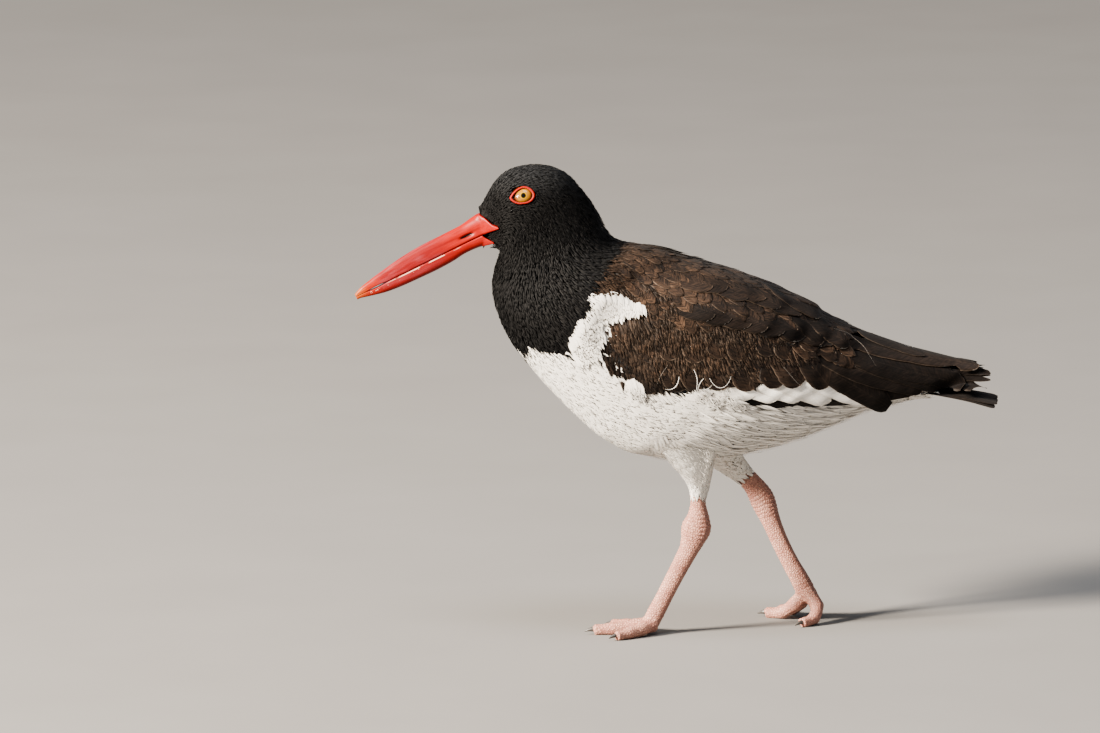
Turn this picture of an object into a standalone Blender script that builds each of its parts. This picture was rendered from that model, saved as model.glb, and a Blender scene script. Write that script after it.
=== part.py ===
"""An American oystercatcher as a still, life-size model, walking with its bill held low.

The bird faces -X and its left side faces -Y. The floor is Z = 0. Sizes in the tables are
millimetres, and MM turns them into metres. Every surface of the body comes from a few
stations, read smoothly, and every feather vane is set on the wing or tail that it grows from.
"""

import math
import random

import bpy
import bmesh
import numpy as np
from mathutils import Vector
from mathutils.bvhtree import BVHTree

MM = 0.001
GAP = 0.3            # space kept between pieces that touch
LEFT, RIGHT = -1, 1  # the sign of Y on each side of the bird
SIDES = ((LEFT, "left"), (RIGHT, "right"))

# Head, neck and torso share one row of stations, from the bill back to the rump. Each gives the
# throat or belly point (x, z), the crown or back point (x, z), the half width, how far the
# widest place lies above the middle, and how full the section is.
BODY = (
    (-107.7, 221.4, -112.8, 243.5, 7.7, 0.0, 0.9),
    (-104.9, 220.8, -109.7, 248.3, 10.2, 0.0, 0.92),
    (-102.3, 220.5, -105.7, 256.4, 12.9, 0.02, 0.95),
    (-100.9, 219.7, -98.9, 264.5, 15.0, 0.05, 0.95),
    (-100.6, 218.8, -88.1, 268.6, 16.8, 0.05, 0.95),
    (-101.2, 217.0, -75.0, 269.1, 17.8, 0.0, 0.95),
    (-102.3, 214.2, -62.4, 264.5, 18.6, -0.05, 1.0),
    (-103.5, 210.1, -52.2, 252.9, 20.0, -0.08, 1.0),
    (-104.6, 205.5, -45.3, 243.1, 22.5, -0.08, 1.0),
    (-105.2, 199.7, -40.2, 232.7, 26.0, -0.08, 1.0),
    (-104.6, 192.2, -35.6, 226.3, 31.0, -0.06, 1.0),
    (-101.7, 182.3, -27.6, 224.0, 37.0, -0.05, 1.0),
    (-96.0, 169.6, -15.1, 221.7, 42.0, -0.05, 1.0),
    (-86.9, 156.9, 2.0, 216.5, 45.5, -0.05, 1.0),
    (-73.2, 140.6, 21.9, 210.7, 47.5, -0.04, 1.0),
    (-55.0, 122.1, 41.9, 203.2, 48.0, -0.02, 1.0),
    (-35.1, 105.9, 61.8, 191.6, 46.5, 0.0, 1.0),
    (-12.3, 100.7, 77.2, 179.4, 43.5, 0.0, 1.0),
    (13.4, 99.6, 90.3, 170.2, 38.5, 0.0, 1.0),
    (39.0, 103.0, 103.5, 162.1, 32.5, 0.0, 1.0),
    (64.7, 110.0, 116.0, 155.1, 26.0, 0.0, 1.0),
    (88.6, 119.8, 126.3, 149.9, 20.0, 0.0, 1.0),
    (109.2, 129.1, 134.2, 146.4, 15.0, 0.0, 1.0),
)
NECK_STARTS, TORSO_STARTS = 7.4, 10.6  # station numbers where the head and neck end

# The outside of a folded wing, as vertical slices: x, height of the top edge line, height of
# the widest place, half width there, height that the lower curve heads for, the angle up from
# the widest place to the wing's upper edge, and height of the wing's lower edge.
WING = (
    (-46.0, 222.0, 178.0, 40.0, 112.0, 14.0, 176.5),
    (-38.0, 221.5, 174.0, 43.0, 106.0, 34.0, 166.0),
    (-28.0, 221.5, 171.0, 45.5, 101.0, 50.0, 158.5),
    (-12.0, 219.5, 169.0, 47.6, 98.0, 65.0, 148.0),
    (10.0, 214.5, 166.0, 48.6, 98.0, 79.0, 147.0),
    (35.0, 207.5, 161.0, 47.8, 99.0, 85.0, 141.0),
    (60.0, 197.0, 156.0, 44.0, 103.0, 86.0, 139.0),
    (85.0, 182.0, 150.0, 36.5, 110.0, 86.0, 137.5),
    (110.0, 171.5, 147.0, 27.5, 118.0, 86.0, 138.0),
    (130.0, 164.0, 145.5, 20.0, 124.0, 86.0, 139.2),
    (148.0, 158.0, 145.0, 13.5, 128.0, 85.0, 143.3),
    (160.0, 155.0, 145.0, 9.0, 130.0, 84.0, 144.0),
)
WING_FRONT, WING_END = -46.0, 152.0
WING_DEPTH = ((-46.0, 3.0), (-20.0, 6.0), (40.0, 6.0), (90.0, 3.6), (130.0, 2.2), (160.0, 1.4))
WING_COLUMNS, WING_ROWS = 12, 8
WING_DROOP = 0.18    # how fast the wing's surface falls past its last slice
EDGE_DEPTH = 1.3     # thickness of a wing at its very edges
EDGE_START, EDGE_SHARE = 0.02, 0.25  # the wing thins over this share of its height at each edge
EDGE_LEAD, EDGE_RUN = 3.0, 14.0      # and over this run at its front
BED_DEPTH = 2.8      # the least depth of the bed that a wing lies in
BED_GAP = 0.5        # the bed's gap to the wing, larger than the usual one since both curve
BED_REACH = 12.0     # how far the bed's cutter stands out over the wing
BED_FRONT, BED_OVER, BED_UNDER = 1.5, 0.03, 0.09  # how far it passes the wing's edges

# Feather vanes of the wings. An outline gives the width, as a share of the full one, along a vane.
VANE = 0.6           # thickness of a feather vane
VANE_CAMBER = 0.25   # how far a vane's edges lie under its middle
EDGE_STAGGER, MIDLINE_STAGGER = 0.015, 0.9  # keep vanes that reach an edge or the midline unfolded
MIDLINE_SPACE = 0.4
ROUND_TIP = ((0.0, 0.5), (0.74, 1.0), (1.0, 0.45))
LONG_TIP = ((0.0, 0.5), (0.5, 1.0), (0.85, 0.82), (1.0, 0.26))
POINTED_TIP = ((0.0, 0.7), (0.4, 1.0), (0.8, 0.8), (1.0, 0.22))

# Each tier of a wing: how many feathers, the first and last roots and tips in side view
# (x, z), the feather's width, root and tip height over the wing, outline, roll, and how far
# down round the wing a vane may reach, where 1 is the wing's lower edge.
TIERS = (
    ("primary", 5, (104.0, 149.0), (112.0, 157.0), (148.0, 144.2), (178.6, 150.3), 9.0,
     (-0.9, 0.5), POINTED_TIP, 0.7, 1.04),
    ("remex", 4, (20.0, 148.0), (62.0, 145.0), (68.0, 136.4), (139.0, 140.8), 9.0,
     (-0.9, 0.3), POINTED_TIP, -0.5, 1.04),
    ("white_covert", 6, (18.0, 168.0), (84.0, 160.0), (41.0, 142.4), (110.0, 136.0), 15.0,
     (-0.9, 1.1), ROUND_TIP, 0.7, 1.04),
    ("greater_covert", 8, (-28.0, 168.0), (76.0, 174.0), (-13.0, 146.8), (92.0, 145.6), 16.0,
     (-0.8, 2.0), ROUND_TIP, 0.7, 1.04),
    ("tertial", 5, (62.0, 166.0), (86.0, 182.0), (121.0, 132.6), (171.4, 154.0), 15.5,
     (-0.8, 2.5), LONG_TIP, 0.8, 1.4),
    ("scapular", 6, (-14.0, 203.0), (60.0, 198.0), (22.0, 189.0), (98.0, 168.5), 17.0,
     (-0.8, 3.4), LONG_TIP, 0.7, 1.04),
    ("upper_scapular", 4, (-12.0, 213.0), (42.0, 206.0), (20.0, 204.0), (80.0, 184.5), 16.0,
     (-0.8, 3.0), ROUND_TIP, 0.5, 1.04),
)
ROOT_SCATTER, TIP_SCATTER, WIDTH_SCATTER = 0.8, (1.0, 0.8), 0.05

# The bill is measured along its own axis from the corner of the mouth, dipping by BILL_DIP.
MOUTH_CORNER = (-102.3, 233.3)
BILL_DIP = math.radians(26.7)
BILL_TOP = ((-3.0, 9.0), (6.0, 11.3), (18.6, 9.9), (28.0, 9.8), (47.3, 9.5), (57.3, 8.6),
            (67.7, 7.0), (78.3, 5.0), (85.6, 3.3), (89.8, 1.5))
BILL_BOTTOM = ((-3.0, 7.2), (6.5, 7.0), (17.0, 5.7), (23.0, 5.6), (31.0, 6.5), (40.0, 6.9),
               (52.5, 6.7), (65.0, 6.2), (74.0, 5.2), (80.0, 3.9), (88.0, 1.9))
BILL_WIDTH = ((-3.0, 6.4), (6.0, 6.0), (15.0, 4.9), (25.0, 4.3), (45.0, 4.0), (65.0, 3.3),
              (80.0, 2.3), (89.8, 1.3))
BILL_SLICES, BILL_ARC = 17, 10   # slices along the bill, steps over each half of a slice
BILL_SIDES, BILL_CREST = 0.8, 0.85  # powers under 1 that square the section's shoulders
BILL_BED_GAP, BILL_BED_SLICES = 0.35, 6  # the bed in the face is this much larger than the bill
TIP_OPENING, TIP_OPENING_AT, TIP_OPENING_LENGTH = 0.9, 76.0, 9.0
NOSTRIL = (17.5, 3.2, 8.5, 0.9)  # along the bill, above the mouth line, length, half height
NOSTRIL_DEPTH, NOSTRIL_OUT = 1.9, 0.4

# Eyes: the middle of the pupil in side view, and the almond of the lids round it.
EYE_AT = (-87.2, 254.0)
EYE_RADIUS, EYE_BULGE = 6.2, 1.0
LID_REACH_FRONT, LID_REACH_BACK, LID_RISE, LID_DROP = 7.0, 5.9, 4.6, 4.5
LID_PINCH_FRONT, LID_PINCH_BACK, LID_TILT = 1.35, 1.1, 0.13
LID_ROD, LID_STAND, LID_OVAL, LID_STEPS, LID_SIDES = 0.78, 0.25, 1.3, 20, 6
SOCKET_DEPTH, SOCKET_REACH = 1.6, 4.0

# Legs, from the belly to the ankle: x, y, z of the middle, half depth fore and aft, half width.
LEFT_LEG = (
    (8.0, -24.0, 116.0, 15.5, 14.0),
    (10.6, -24.0, 104.0, 11.6, 11.0),
    (11.6, -23.0, 97.0, 9.2, 8.8),
    (12.0, -22.0, 89.0, 6.9, 6.4),
    (12.4, -21.3, 83.0, 5.0, 4.6),
    (12.2, -20.8, 77.5, 4.1, 3.5),
    (12.3, -20.2, 70.0, 6.0, 4.2),
    (11.5, -19.6, 63.5, 8.4, 5.0),
    (9.8, -19.2, 57.5, 7.5, 4.7),
    (7.4, -18.6, 50.5, 5.5, 3.8),
    (0.0, -17.4, 36.0, 4.8, 3.3),
    (-7.4, -16.2, 21.0, 4.6, 3.3),
    (-12.2, -15.4, 11.5, 4.9, 3.9),
    (-14.6, -15.0, 6.4, 4.9, 4.6),
)
RIGHT_LEG = (
    (16.0, 23.0, 112.0, 18.0, 14.0),
    (22.5, 23.5, 102.0, 14.0, 12.0),
    (29.0, 24.0, 94.5, 9.0, 8.6),
    (36.0, 24.2, 88.0, 6.6, 6.4),
    (42.5, 24.3, 81.5, 5.6, 5.0),
    (46.5, 24.4, 76.5, 6.3, 4.4),
    (49.6, 24.5, 71.0, 7.0, 4.8),
    (52.4, 24.6, 64.0, 6.2, 4.6),
    (55.0, 24.7, 57.5, 5.2, 3.9),
    (59.8, 24.8, 46.0, 4.8, 3.3),
    (66.0, 24.9, 33.5, 4.8, 3.3),
    (71.4, 25.0, 24.0, 5.2, 3.9),
    (74.4, 25.0, 17.6, 5.6, 4.8),
)
FEATHERS_END = {LEFT: 4.15, RIGHT: 3.75}   # station where the feathered thigh meets bare skin
HOCK_ENDS = {LEFT: 8.45, RIGHT: 7.6}       # station just under the hock
LEG_ENDS = {LEFT: 12.2, RIGHT: 11.4}      # station where the foot takes over

# Toes, from inside the ankle to the root of the claw: x, y, z, half width, half height.
TOES = {
    (LEFT, "inner"): ((-13.6, -14.4, 6.2, 4.2, 4.6), (-21.0, -8.4, 4.2, 3.3, 3.6),
                      (-28.5, -2.6, 3.2, 3.0, 3.1), (-36.0, 2.6, 2.5, 2.3, 2.6)),
    (LEFT, "middle"): ((-13.6, -15.2, 6.6, 4.4, 5.0), (-24.0, -16.0, 4.7, 3.6, 4.1),
                       (-36.0, -16.4, 3.5, 3.2, 3.5), (-46.5, -16.6, 2.7, 2.4, 2.9)),
    (LEFT, "outer"): ((-13.4, -16.0, 6.2, 4.2, 4.6), (-20.0, -22.6, 4.2, 3.3, 3.6),
                      (-27.0, -28.4, 3.2, 3.0, 3.1), (-34.0, -33.6, 2.5, 2.3, 2.6)),
    (RIGHT, "inner"): ((76.0, 24.0, 16.2, 4.8, 4.8), (81.0, 18.4, 9.8, 3.8, 3.8),
                       (79.0, 11.4, 3.8, 3.3, 3.3), (72.4, 5.4, 2.5, 2.4, 2.6)),
    (RIGHT, "middle"): ((74.8, 25.0, 16.6, 4.8, 4.8), (69.0, 26.6, 9.4, 4.2, 4.2),
                        (61.6, 30.0, 4.0, 3.4, 3.6), (52.6, 34.4, 2.7, 2.4, 2.9)),
    (RIGHT, "outer"): ((75.0, 25.8, 16.4, 4.4, 4.6), (72.4, 32.8, 9.2, 3.6, 3.7),
                       (67.4, 39.6, 3.8, 3.1, 3.2), (61.0, 45.6, 2.5, 2.3, 2.6)),
}
TOE_SLICES, TOE_SIDES, TOE_JOINT = 7, 10, 0.07  # and how far the joints of a toe swell
FLOOR_BLOCK = (0.4, 0.3, 0.05)   # in metres, takes off what reaches under the soles
CLAW_LENGTH, CLAW_RISE, CLAW_DROP = 5.6, 0.6, 1.4
CLAW_WIDTH, CLAW_HEIGHT, CLAW_TAPER = 0.62, 0.55, 0.82  # as shares of the toe's end, and of the root
CLAW_SLICES, CLAW_SIDES, CLAW_CLEAR = 4, 8, 0.1
CLAW_GAP, FOOT_GAP = 0.4, 0.42   # larger than the usual gap, since these meet on a slope

# The coverts over and under the tail: lower point (x, z), upper point (x, z), half width.
TAIL_CORE = (
    (121.0, 131.2, 140.0, 145.2, 13.4),
    (132.0, 133.4, 146.0, 143.4, 11.8),
    (142.0, 135.2, 151.0, 141.4, 9.6),
    (150.0, 136.9, 155.0, 139.9, 6.6),
)
# Tail feathers: six pairs, fanned from one root in the middle of the coverts. Each outer pair
# lies under the pair inside it, with its outer edge turned up.
TAIL_PAIRS = 6
TAIL_LINE = ((134.0, 142.1), (150.0, 140.0), (170.0, 136.9), (184.3, 133.8))
TAIL_TIP = ((0.0, 0.5), (0.4, 0.9), (0.93, 1.0), (1.0, 0.5))
TAIL_FAN, TAIL_ROOT, TAIL_ROOT_SPACING = math.radians(6.0), 2.4, 1.6
TAIL_STEP, TAIL_TILT, TAIL_CAMBER, TAIL_HALF_WIDTH = 0.32, 0.34, 0.2, 4.6
TAIL_TIP_DROP, TAIL_SHORTER, TAIL_SCATTER = 0.7, 0.06, 0.015
TAIL_SIDES = 20


def smooth(table, at):
    """Rows of a table whose first column rises, read smoothly at the places in at."""
    rows = np.asarray(table, float)
    place, rest = rows[:, 0], rows[:, 1:]
    slope = np.gradient(rest, place, axis=0)
    at = np.clip(np.atleast_1d(np.asarray(at, float)), place[0], place[-1])
    i = np.clip(np.searchsorted(place, at, side="right") - 1, 0, len(place) - 2)
    step = (place[i + 1] - place[i])[:, None]
    t = (at - place[i])[:, None] / step
    start = (2 * t**3 - 3 * t**2 + 1) * rest[i] + (t**3 - 2 * t**2 + t) * step * slope[i]
    end = (3 * t**2 - 2 * t**3) * rest[i + 1] + (t**3 - t**2) * step * slope[i + 1]
    return start + end


def value(table, at):
    return float(smooth(table, at)[0, 0])


def numbered(stations):
    return [(i, *row) for i, row in enumerate(stations)]


def clear_scene():
    for obj in list(bpy.data.objects):
        bpy.data.objects.remove(obj, do_unlink=True)


def make_collection(name):
    collection = bpy.data.collections.new(name)
    bpy.context.scene.collection.children.link(collection)
    return collection


def make_material(name, colour, roughness):
    material = bpy.data.materials.new(name)
    material.use_nodes = True
    shader = material.node_tree.nodes["Principled BSDF"]
    shader.inputs["Base Color"].default_value = (*colour, 1.0)
    shader.inputs["Roughness"].default_value = roughness
    shader.inputs["Metallic"].default_value = 0.0
    material.diffuse_color = (*colour, 1.0)
    return material


def place_mesh(name, points, faces, material, collection):
    """A mesh object from points in millimetres, with its faces turned outwards."""
    mesh = bpy.data.meshes.new(name)
    work = bmesh.new()
    verts = [work.verts.new(Vector(p) * MM) for p in points]
    for face in faces:
        work.faces.new([verts[i] for i in face])
    bmesh.ops.recalc_face_normals(work, faces=work.faces)
    if work.calc_volume(signed=True) < 0:
        bmesh.ops.reverse_faces(work, faces=work.faces)
    work.to_mesh(mesh)
    work.free()
    obj = bpy.data.objects.new(name, mesh)
    obj.data.materials.append(material)
    collection.objects.link(obj)
    return obj


def loft(name, rings, material, collection):
    """A closed solid through rings of equally many points, with a flat cap on each end."""
    count = len(rings[0])
    points = [p for ring in rings for p in ring]
    faces = [tuple(range(count))[::-1]]
    for r in range(len(rings) - 1):
        low, high = r * count, (r + 1) * count
        for k in range(count):
            n = (k + 1) % count
            faces.append((low + k, low + n, high + n, high + k))
    faces.append(tuple(range((len(rings) - 1) * count, len(rings) * count)))
    return place_mesh(name, points, faces, material, collection)


def settle(obj):
    """Replaces the object's mesh by what its modifiers make of it."""
    graph = bpy.context.evaluated_depsgraph_get()
    graph.update()
    mesh = bpy.data.meshes.new_from_object(obj.evaluated_get(graph))
    obj.modifiers.clear()
    old, obj.data = obj.data, mesh
    mesh.name = obj.name
    bpy.data.meshes.remove(old)


def keep_largest(obj):
    """Keeps the object's largest closed surface, and so drops sealed hollows and loose scraps."""
    work = bmesh.new()
    work.from_mesh(obj.data)
    left = set(work.verts)
    shells = []
    while left:
        shell, edge_of = set(), [left.pop()]
        while edge_of:
            vert = edge_of.pop()
            shell.add(vert)
            for edge in vert.link_edges:
                other = edge.other_vert(vert)
                if other in left:
                    left.discard(other)
                    edge_of.append(other)
        shells.append(shell)
    shells.sort(key=len)
    loose = [vert for shell in shells[:-1] for vert in shell]
    bmesh.ops.delete(work, geom=loose, context="VERTS")
    work.to_mesh(obj.data)
    work.free()


def join(obj, pieces):
    """Unites the pieces with the object in one Boolean, and removes them."""
    group = bpy.data.collections.new(obj.name + "_pieces")
    bpy.context.scene.collection.children.link(group)
    for piece in pieces:
        for owner in list(piece.users_collection):
            owner.objects.unlink(piece)
        group.objects.link(piece)
    union = obj.modifiers.new("join", "BOOLEAN")
    union.operation = "UNION"
    union.operand_type = "COLLECTION"
    union.collection = group
    union.solver = "MANIFOLD"
    settle(obj)
    for piece in pieces:
        bpy.data.objects.remove(piece, do_unlink=True)
    bpy.data.collections.remove(group)
    keep_largest(obj)


def cut(obj, cutters, solver="EXACT"):
    """Takes the cutters out of the object, and removes them."""
    for cutter in cutters:
        cutter.hide_render = True
        cutter.display_type = "WIRE"
        difference = obj.modifiers.new("cut", "BOOLEAN")
        difference.operation = "DIFFERENCE"
        difference.object = cutter
        difference.solver = solver
    settle(obj)
    for cutter in cutters:
        bpy.data.objects.remove(cutter, do_unlink=True)
    keep_largest(obj)


def surface_of(obj):
    """A tree for casting rays on the object, in metres."""
    return BVHTree.FromObject(obj, bpy.context.evaluated_depsgraph_get())


def grown_copy(obj, by, collection):
    """A copy of a closed solid with every point moved outwards along its normal."""
    copy = bpy.data.objects.new(obj.name + "_grown", obj.data.copy())
    collection.objects.link(copy)
    normals = [vert.normal.copy() for vert in copy.data.vertices]
    for vert, normal in zip(copy.data.vertices, normals):
        vert.co += normal * by * MM
    return copy


def body_ring(station, count, shift=0.0):
    """One slice of head, neck or torso, moved by shift along the body for a parting cut."""
    front_x, front_z, back_x, back_z, half_width, widest, fullness = smooth(numbered(BODY), station)[0]
    middle = np.array([(front_x + back_x) / 2, 0, (front_z + back_z) / 2])
    half = np.array([(back_x - front_x) / 2, 0, (back_z - front_z) / 2])
    along = np.array([half[2], 0, -half[0]]) / np.linalg.norm(half)
    ring = []
    for k in range(count):
        turn = 2 * math.pi * k / count
        rise = -math.cos(turn) + widest * math.sin(turn) ** 2
        across = math.copysign(abs(math.sin(turn)) ** fullness, math.sin(turn)) * half_width
        point = middle + half * rise + along * shift
        point[1] = across
        ring.append(point)
    return ring


def body_solid(name, first, last, rings, count, material, collection):
    """Head, neck or torso between two stations, parted from its neighbours by half the gap."""
    stations = np.linspace(first, last, rings)
    slices = [body_ring(s, count) for s in stations]
    if first > 0:
        slices[0] = body_ring(first, count, GAP / 2)
    if last < len(BODY) - 1:
        slices[-1] = body_ring(last, count, -GAP / 2)
    return loft(name, slices, material, collection)


def wing_place(side, x, v, height):
    """A point over the folded wing: v runs from its upper edge (0) to its lower edge (1)."""
    def on_surface(x, v):
        top, widest, half_width, bottom, angle, low = smooth(WING, x)[0]
        lowest = -math.asin(min(0.95, max(0.0, (widest - low) / (widest - bottom))))
        turn = math.radians(angle) * (1 - v) + lowest * v
        rise = (top - widest) if turn > 0 else (widest - bottom)
        over = max(0.0, x - WING[-1][0])
        return np.array([x, side * half_width * math.cos(turn),
                         widest + rise * math.sin(turn) - WING_DROOP * over])

    def slope(dx, dv):
        return (on_surface(x + dx, v + dv) - on_surface(x - dx, v - dv)) / (2 * (dx + dv))

    along, down = slope(0.5, 0), slope(0, 0.01)
    normal = np.cross(along, down) * side
    normal /= np.linalg.norm(normal)
    return on_surface(x, v) + normal * height, along, down


def wing_row(x, z):
    """The v of a side-view height on the wing, so that feathers can be placed as they are seen."""
    top, widest, _, bottom, angle, low = smooth(WING, x)[0]
    rise = (top - widest) if z > widest else (widest - bottom)
    turn = math.asin(max(-0.97, min(0.999, (z - widest) / rise)))
    lowest = -math.asin(min(0.95, max(0.0, (widest - low) / (widest - bottom))))
    upper = math.radians(angle)
    return (upper - turn) / (upper - lowest)


def wing_shell(name, side, bed, material, collection):
    """The wing without its vanes, or with bed set the shape that its bed is cut with."""
    columns = list(np.linspace(WING_FRONT, WING_END, WING_COLUMNS))
    rows = list(np.linspace(0, 1, WING_ROWS))
    if bed:
        columns = [WING_FRONT - BED_FRONT, *columns]
        rows = [-BED_OVER, *rows, 1 + BED_UNDER]
    outside, inside = [], []
    for x in columns:
        full = value(WING_DEPTH, x)
        from_front = (x - WING_FRONT + EDGE_LEAD) / EDGE_RUN
        for v in rows:
            from_edge = min(v + EDGE_START, 1 + EDGE_START - v) / EDGE_SHARE
            share = max(0.0, min(1.0, from_edge, from_front))
            depth = EDGE_DEPTH + (full - EDGE_DEPTH) * math.sin(math.pi / 2 * share)
            if bed:
                depth = max(depth + BED_GAP, BED_DEPTH)
            outside.append(wing_place(side, x, v, BED_REACH if bed else 0)[0])
            inside.append(wing_place(side, x, v, -depth)[0])
    points = outside + inside
    wide, tall, shift = len(columns), len(rows), len(outside)
    faces = []
    for c in range(wide - 1):
        for r in range(tall - 1):
            a, b = c * tall + r, (c + 1) * tall + r
            faces += [(a, b, b + 1, a + 1), (a + shift, a + 1 + shift, b + 1 + shift, b + shift)]
    rim = [c * tall for c in range(wide)]
    rim += [(wide - 1) * tall + r for r in range(1, tall)]
    rim += [c * tall + tall - 1 for c in range(wide - 2, -1, -1)]
    rim += [r for r in range(tall - 2, 0, -1)]
    for a, b in zip(rim, rim[1:] + rim[:1]):
        faces.append((a, a + shift, b + shift, b))
    return place_mesh(name, points, faces, material, collection)


def vane_solid(name, tops, bottoms, material, collection):
    """A thin feather from rows of three points, split into triangles alike on both faces."""
    rows = len(tops)
    points = [p for row in tops for p in row] + [p for row in bottoms for p in row]
    under = rows * 3
    faces = []
    for r in range(rows - 1):
        for k in range(2):
            a, b = r * 3 + k, (r + 1) * 3 + k
            quad = ((a, b, b + 1), (a, b + 1, a + 1)) if k == 0 else ((a, b, a + 1), (a + 1, b, b + 1))
            for i, j, l in quad:
                faces += [(i, j, l), (i + under, l + under, j + under)]
        for k in (0, 2):
            a, b = r * 3 + k, (r + 1) * 3 + k
            faces += [(a, a + under, b + under), (a, b + under, b)]
    for r in (0, rows - 1):
        for k in range(2):
            a = r * 3 + k
            faces += [(a, a + 1, a + 1 + under), (a, a + 1 + under, a + under)]
    return place_mesh(name, points, faces, material, collection)


def wing_vane(name, side, root, tip, width, heights, outline, roll, lowest, material, collection):
    """A feather on the wing from root to tip, each (x, v), sunk at the root and lifted at the tip.

    The half that lies towards the next feather is rolled down under it.
    """
    tops, bottoms = [], []
    for t, share in outline:
        x = root[0] + (tip[0] - root[0]) * t
        v = root[1] + (tip[1] - root[1]) * t
        height = heights[0] + (heights[1] - heights[0]) * t
        _, along, down = wing_place(side, x, v, 0)
        run = along * (tip[0] - root[0]) + down * (tip[1] - root[1])
        run /= np.linalg.norm(run)
        normal = np.cross(along, down)
        across = np.cross(normal / np.linalg.norm(normal), run)
        if across[2] < 0:
            across = -across
        grid = np.array([along, down]).T
        top_row, bottom_row = [], []
        for k in (-1, 0, 1):
            move = across * (k * share * width / 2)
            dx, dv = np.linalg.lstsq(grid, move, rcond=None)[0]
            lift = height + roll * k * share - VANE_CAMBER * abs(k)
            for row, level in ((top_row, lift), (bottom_row, lift - VANE)):
                place = min(max(v + dv, EDGE_STAGGER * (1 - k)), lowest)
                point = wing_place(side, x + dx, place, level)[0]
                point[1] = side * max(MIDLINE_SPACE + MIDLINE_STAGGER * (1 - k), side * point[1])
                row.append(point)
        tops.append(top_row)
        bottoms.append(bottom_row)
    return vane_solid(name, tops, bottoms, material, collection)


def make_wing(side, label, materials, collection):
    wing = wing_shell(f"wing_{label}", side, False, materials["wing"], collection)
    draw = random.Random(40 + side)
    vanes = []
    for kind, count, root_a, root_b, tip_a, tip_b, width, heights, outline, roll, lowest in TIERS:
        for i in range(count):
            share = i / (count - 1)
            root_x = root_a[0] + (root_b[0] - root_a[0]) * share
            root_x += draw.uniform(-ROOT_SCATTER, ROOT_SCATTER)
            root_z = root_a[1] + (root_b[1] - root_a[1]) * share
            tip_x = tip_a[0] + (tip_b[0] - tip_a[0]) * share
            tip_x += draw.uniform(-TIP_SCATTER[0], TIP_SCATTER[0])
            tip_z = tip_a[1] + (tip_b[1] - tip_a[1]) * share
            tip_z += draw.uniform(-TIP_SCATTER[1], TIP_SCATTER[1])
            root = (root_x, wing_row(root_x, root_z))
            tip = (tip_x, wing_row(tip_x, tip_z))
            wide = width * draw.uniform(1 - WIDTH_SCATTER, 1 + WIDTH_SCATTER)
            vanes.append(wing_vane(f"{kind}_{label}_{i}", side, root, tip, wide, heights, outline,
                                   roll, lowest, materials["wing"], collection))
    join(wing, vanes)


def tail_vane(name, side, pair, length, material, collection):
    """One tail feather, turned out from the middle by its place in the fan."""
    turn = TAIL_FAN * (pair + 0.5) / TAIL_PAIRS
    tops, bottoms = [], []
    for t, share in TAIL_TIP:
        x = TAIL_LINE[0][0] + length * t * math.cos(turn)
        y = TAIL_ROOT + pair * TAIL_ROOT_SPACING + length * t * math.sin(turn)
        z = value(TAIL_LINE, x) - TAIL_STEP * pair
        top_row, bottom_row = [], []
        for k in (-1, 0, 1):
            reach = k * share * TAIL_HALF_WIDTH
            point = np.array([x - reach * math.sin(turn), side * max(GAP, y + reach),
                              z + TAIL_TILT * reach - TAIL_CAMBER * abs(k)])
            top_row.append(point)
            bottom_row.append(point - np.array([0, 0, VANE]))
        tops.append(top_row)
        bottoms.append(bottom_row)
    return vane_solid(name, tops, bottoms, material, collection)


def make_tail(materials, collection):
    """Uppertail and undertail coverts as the core, with twelve vanes fanned out of it."""
    rings = [body_ring(len(BODY) - 1, TAIL_SIDES, GAP)]
    for front_x, front_z, back_x, back_z, half_width in TAIL_CORE:
        middle = np.array([(front_x + back_x) / 2, 0, (front_z + back_z) / 2])
        half = np.array([(back_x - front_x) / 2, 0, (back_z - front_z) / 2])
        ring = []
        for k in range(TAIL_SIDES):
            turn = 2 * math.pi * k / TAIL_SIDES
            ring.append(middle - half * math.cos(turn) + np.array([0, half_width * math.sin(turn), 0]))
        rings.append(ring)
    tail = loft("tail", rings, materials["tail"], collection)
    draw = random.Random(7)
    full = TAIL_LINE[-1][0] - TAIL_TIP_DROP - TAIL_LINE[0][0]
    vanes = []
    for pair in range(TAIL_PAIRS):
        for side, label in SIDES:
            out = (pair + 0.5) / TAIL_PAIRS
            length = full * (1 - TAIL_SHORTER * out**2) * draw.uniform(1 - TAIL_SCATTER, 1.0)
            vanes.append(tail_vane(f"rectrix_{label}_{pair}", side, pair, length,
                                   materials["tail"], collection))
    join(tail, vanes)


def bill_place(along, up, across):
    """A point of the bill's own axes as a point of the bird."""
    corner = np.array([MOUTH_CORNER[0], 0, MOUTH_CORNER[1]])
    forward = np.array([-math.cos(BILL_DIP), 0, -math.sin(BILL_DIP)])
    upward = np.array([-math.sin(BILL_DIP), 0, math.cos(BILL_DIP)])
    return corner + forward * along + upward * up + np.array([0, across, 0])


def mouth_gap(along):
    """Half the space between the mandibles, which part a little near the tip."""
    rise = max(0.0, 1 - abs(along - TIP_OPENING_AT) / TIP_OPENING_LENGTH)
    return GAP / 2 + TIP_OPENING / 2 * math.sin(math.pi / 2 * rise) ** 2


def bill_section(along, upper, grow):
    """Half of a slice across the bill, over or under the mouth line, from side to side."""
    way = 1 if upper else -1
    tall = value(BILL_TOP if upper else BILL_BOTTOM, along) + grow
    wide = value(BILL_WIDTH, along) + grow
    base = 0 if grow else mouth_gap(along)
    section = []
    for k in range(BILL_ARC + 1):
        turn = math.pi * k / BILL_ARC
        side = math.copysign(abs(math.cos(turn)) ** BILL_SIDES, math.cos(turn)) * wide
        section.append((way * (base + (tall - base) * math.sin(turn) ** BILL_CREST), side))
    return section


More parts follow.
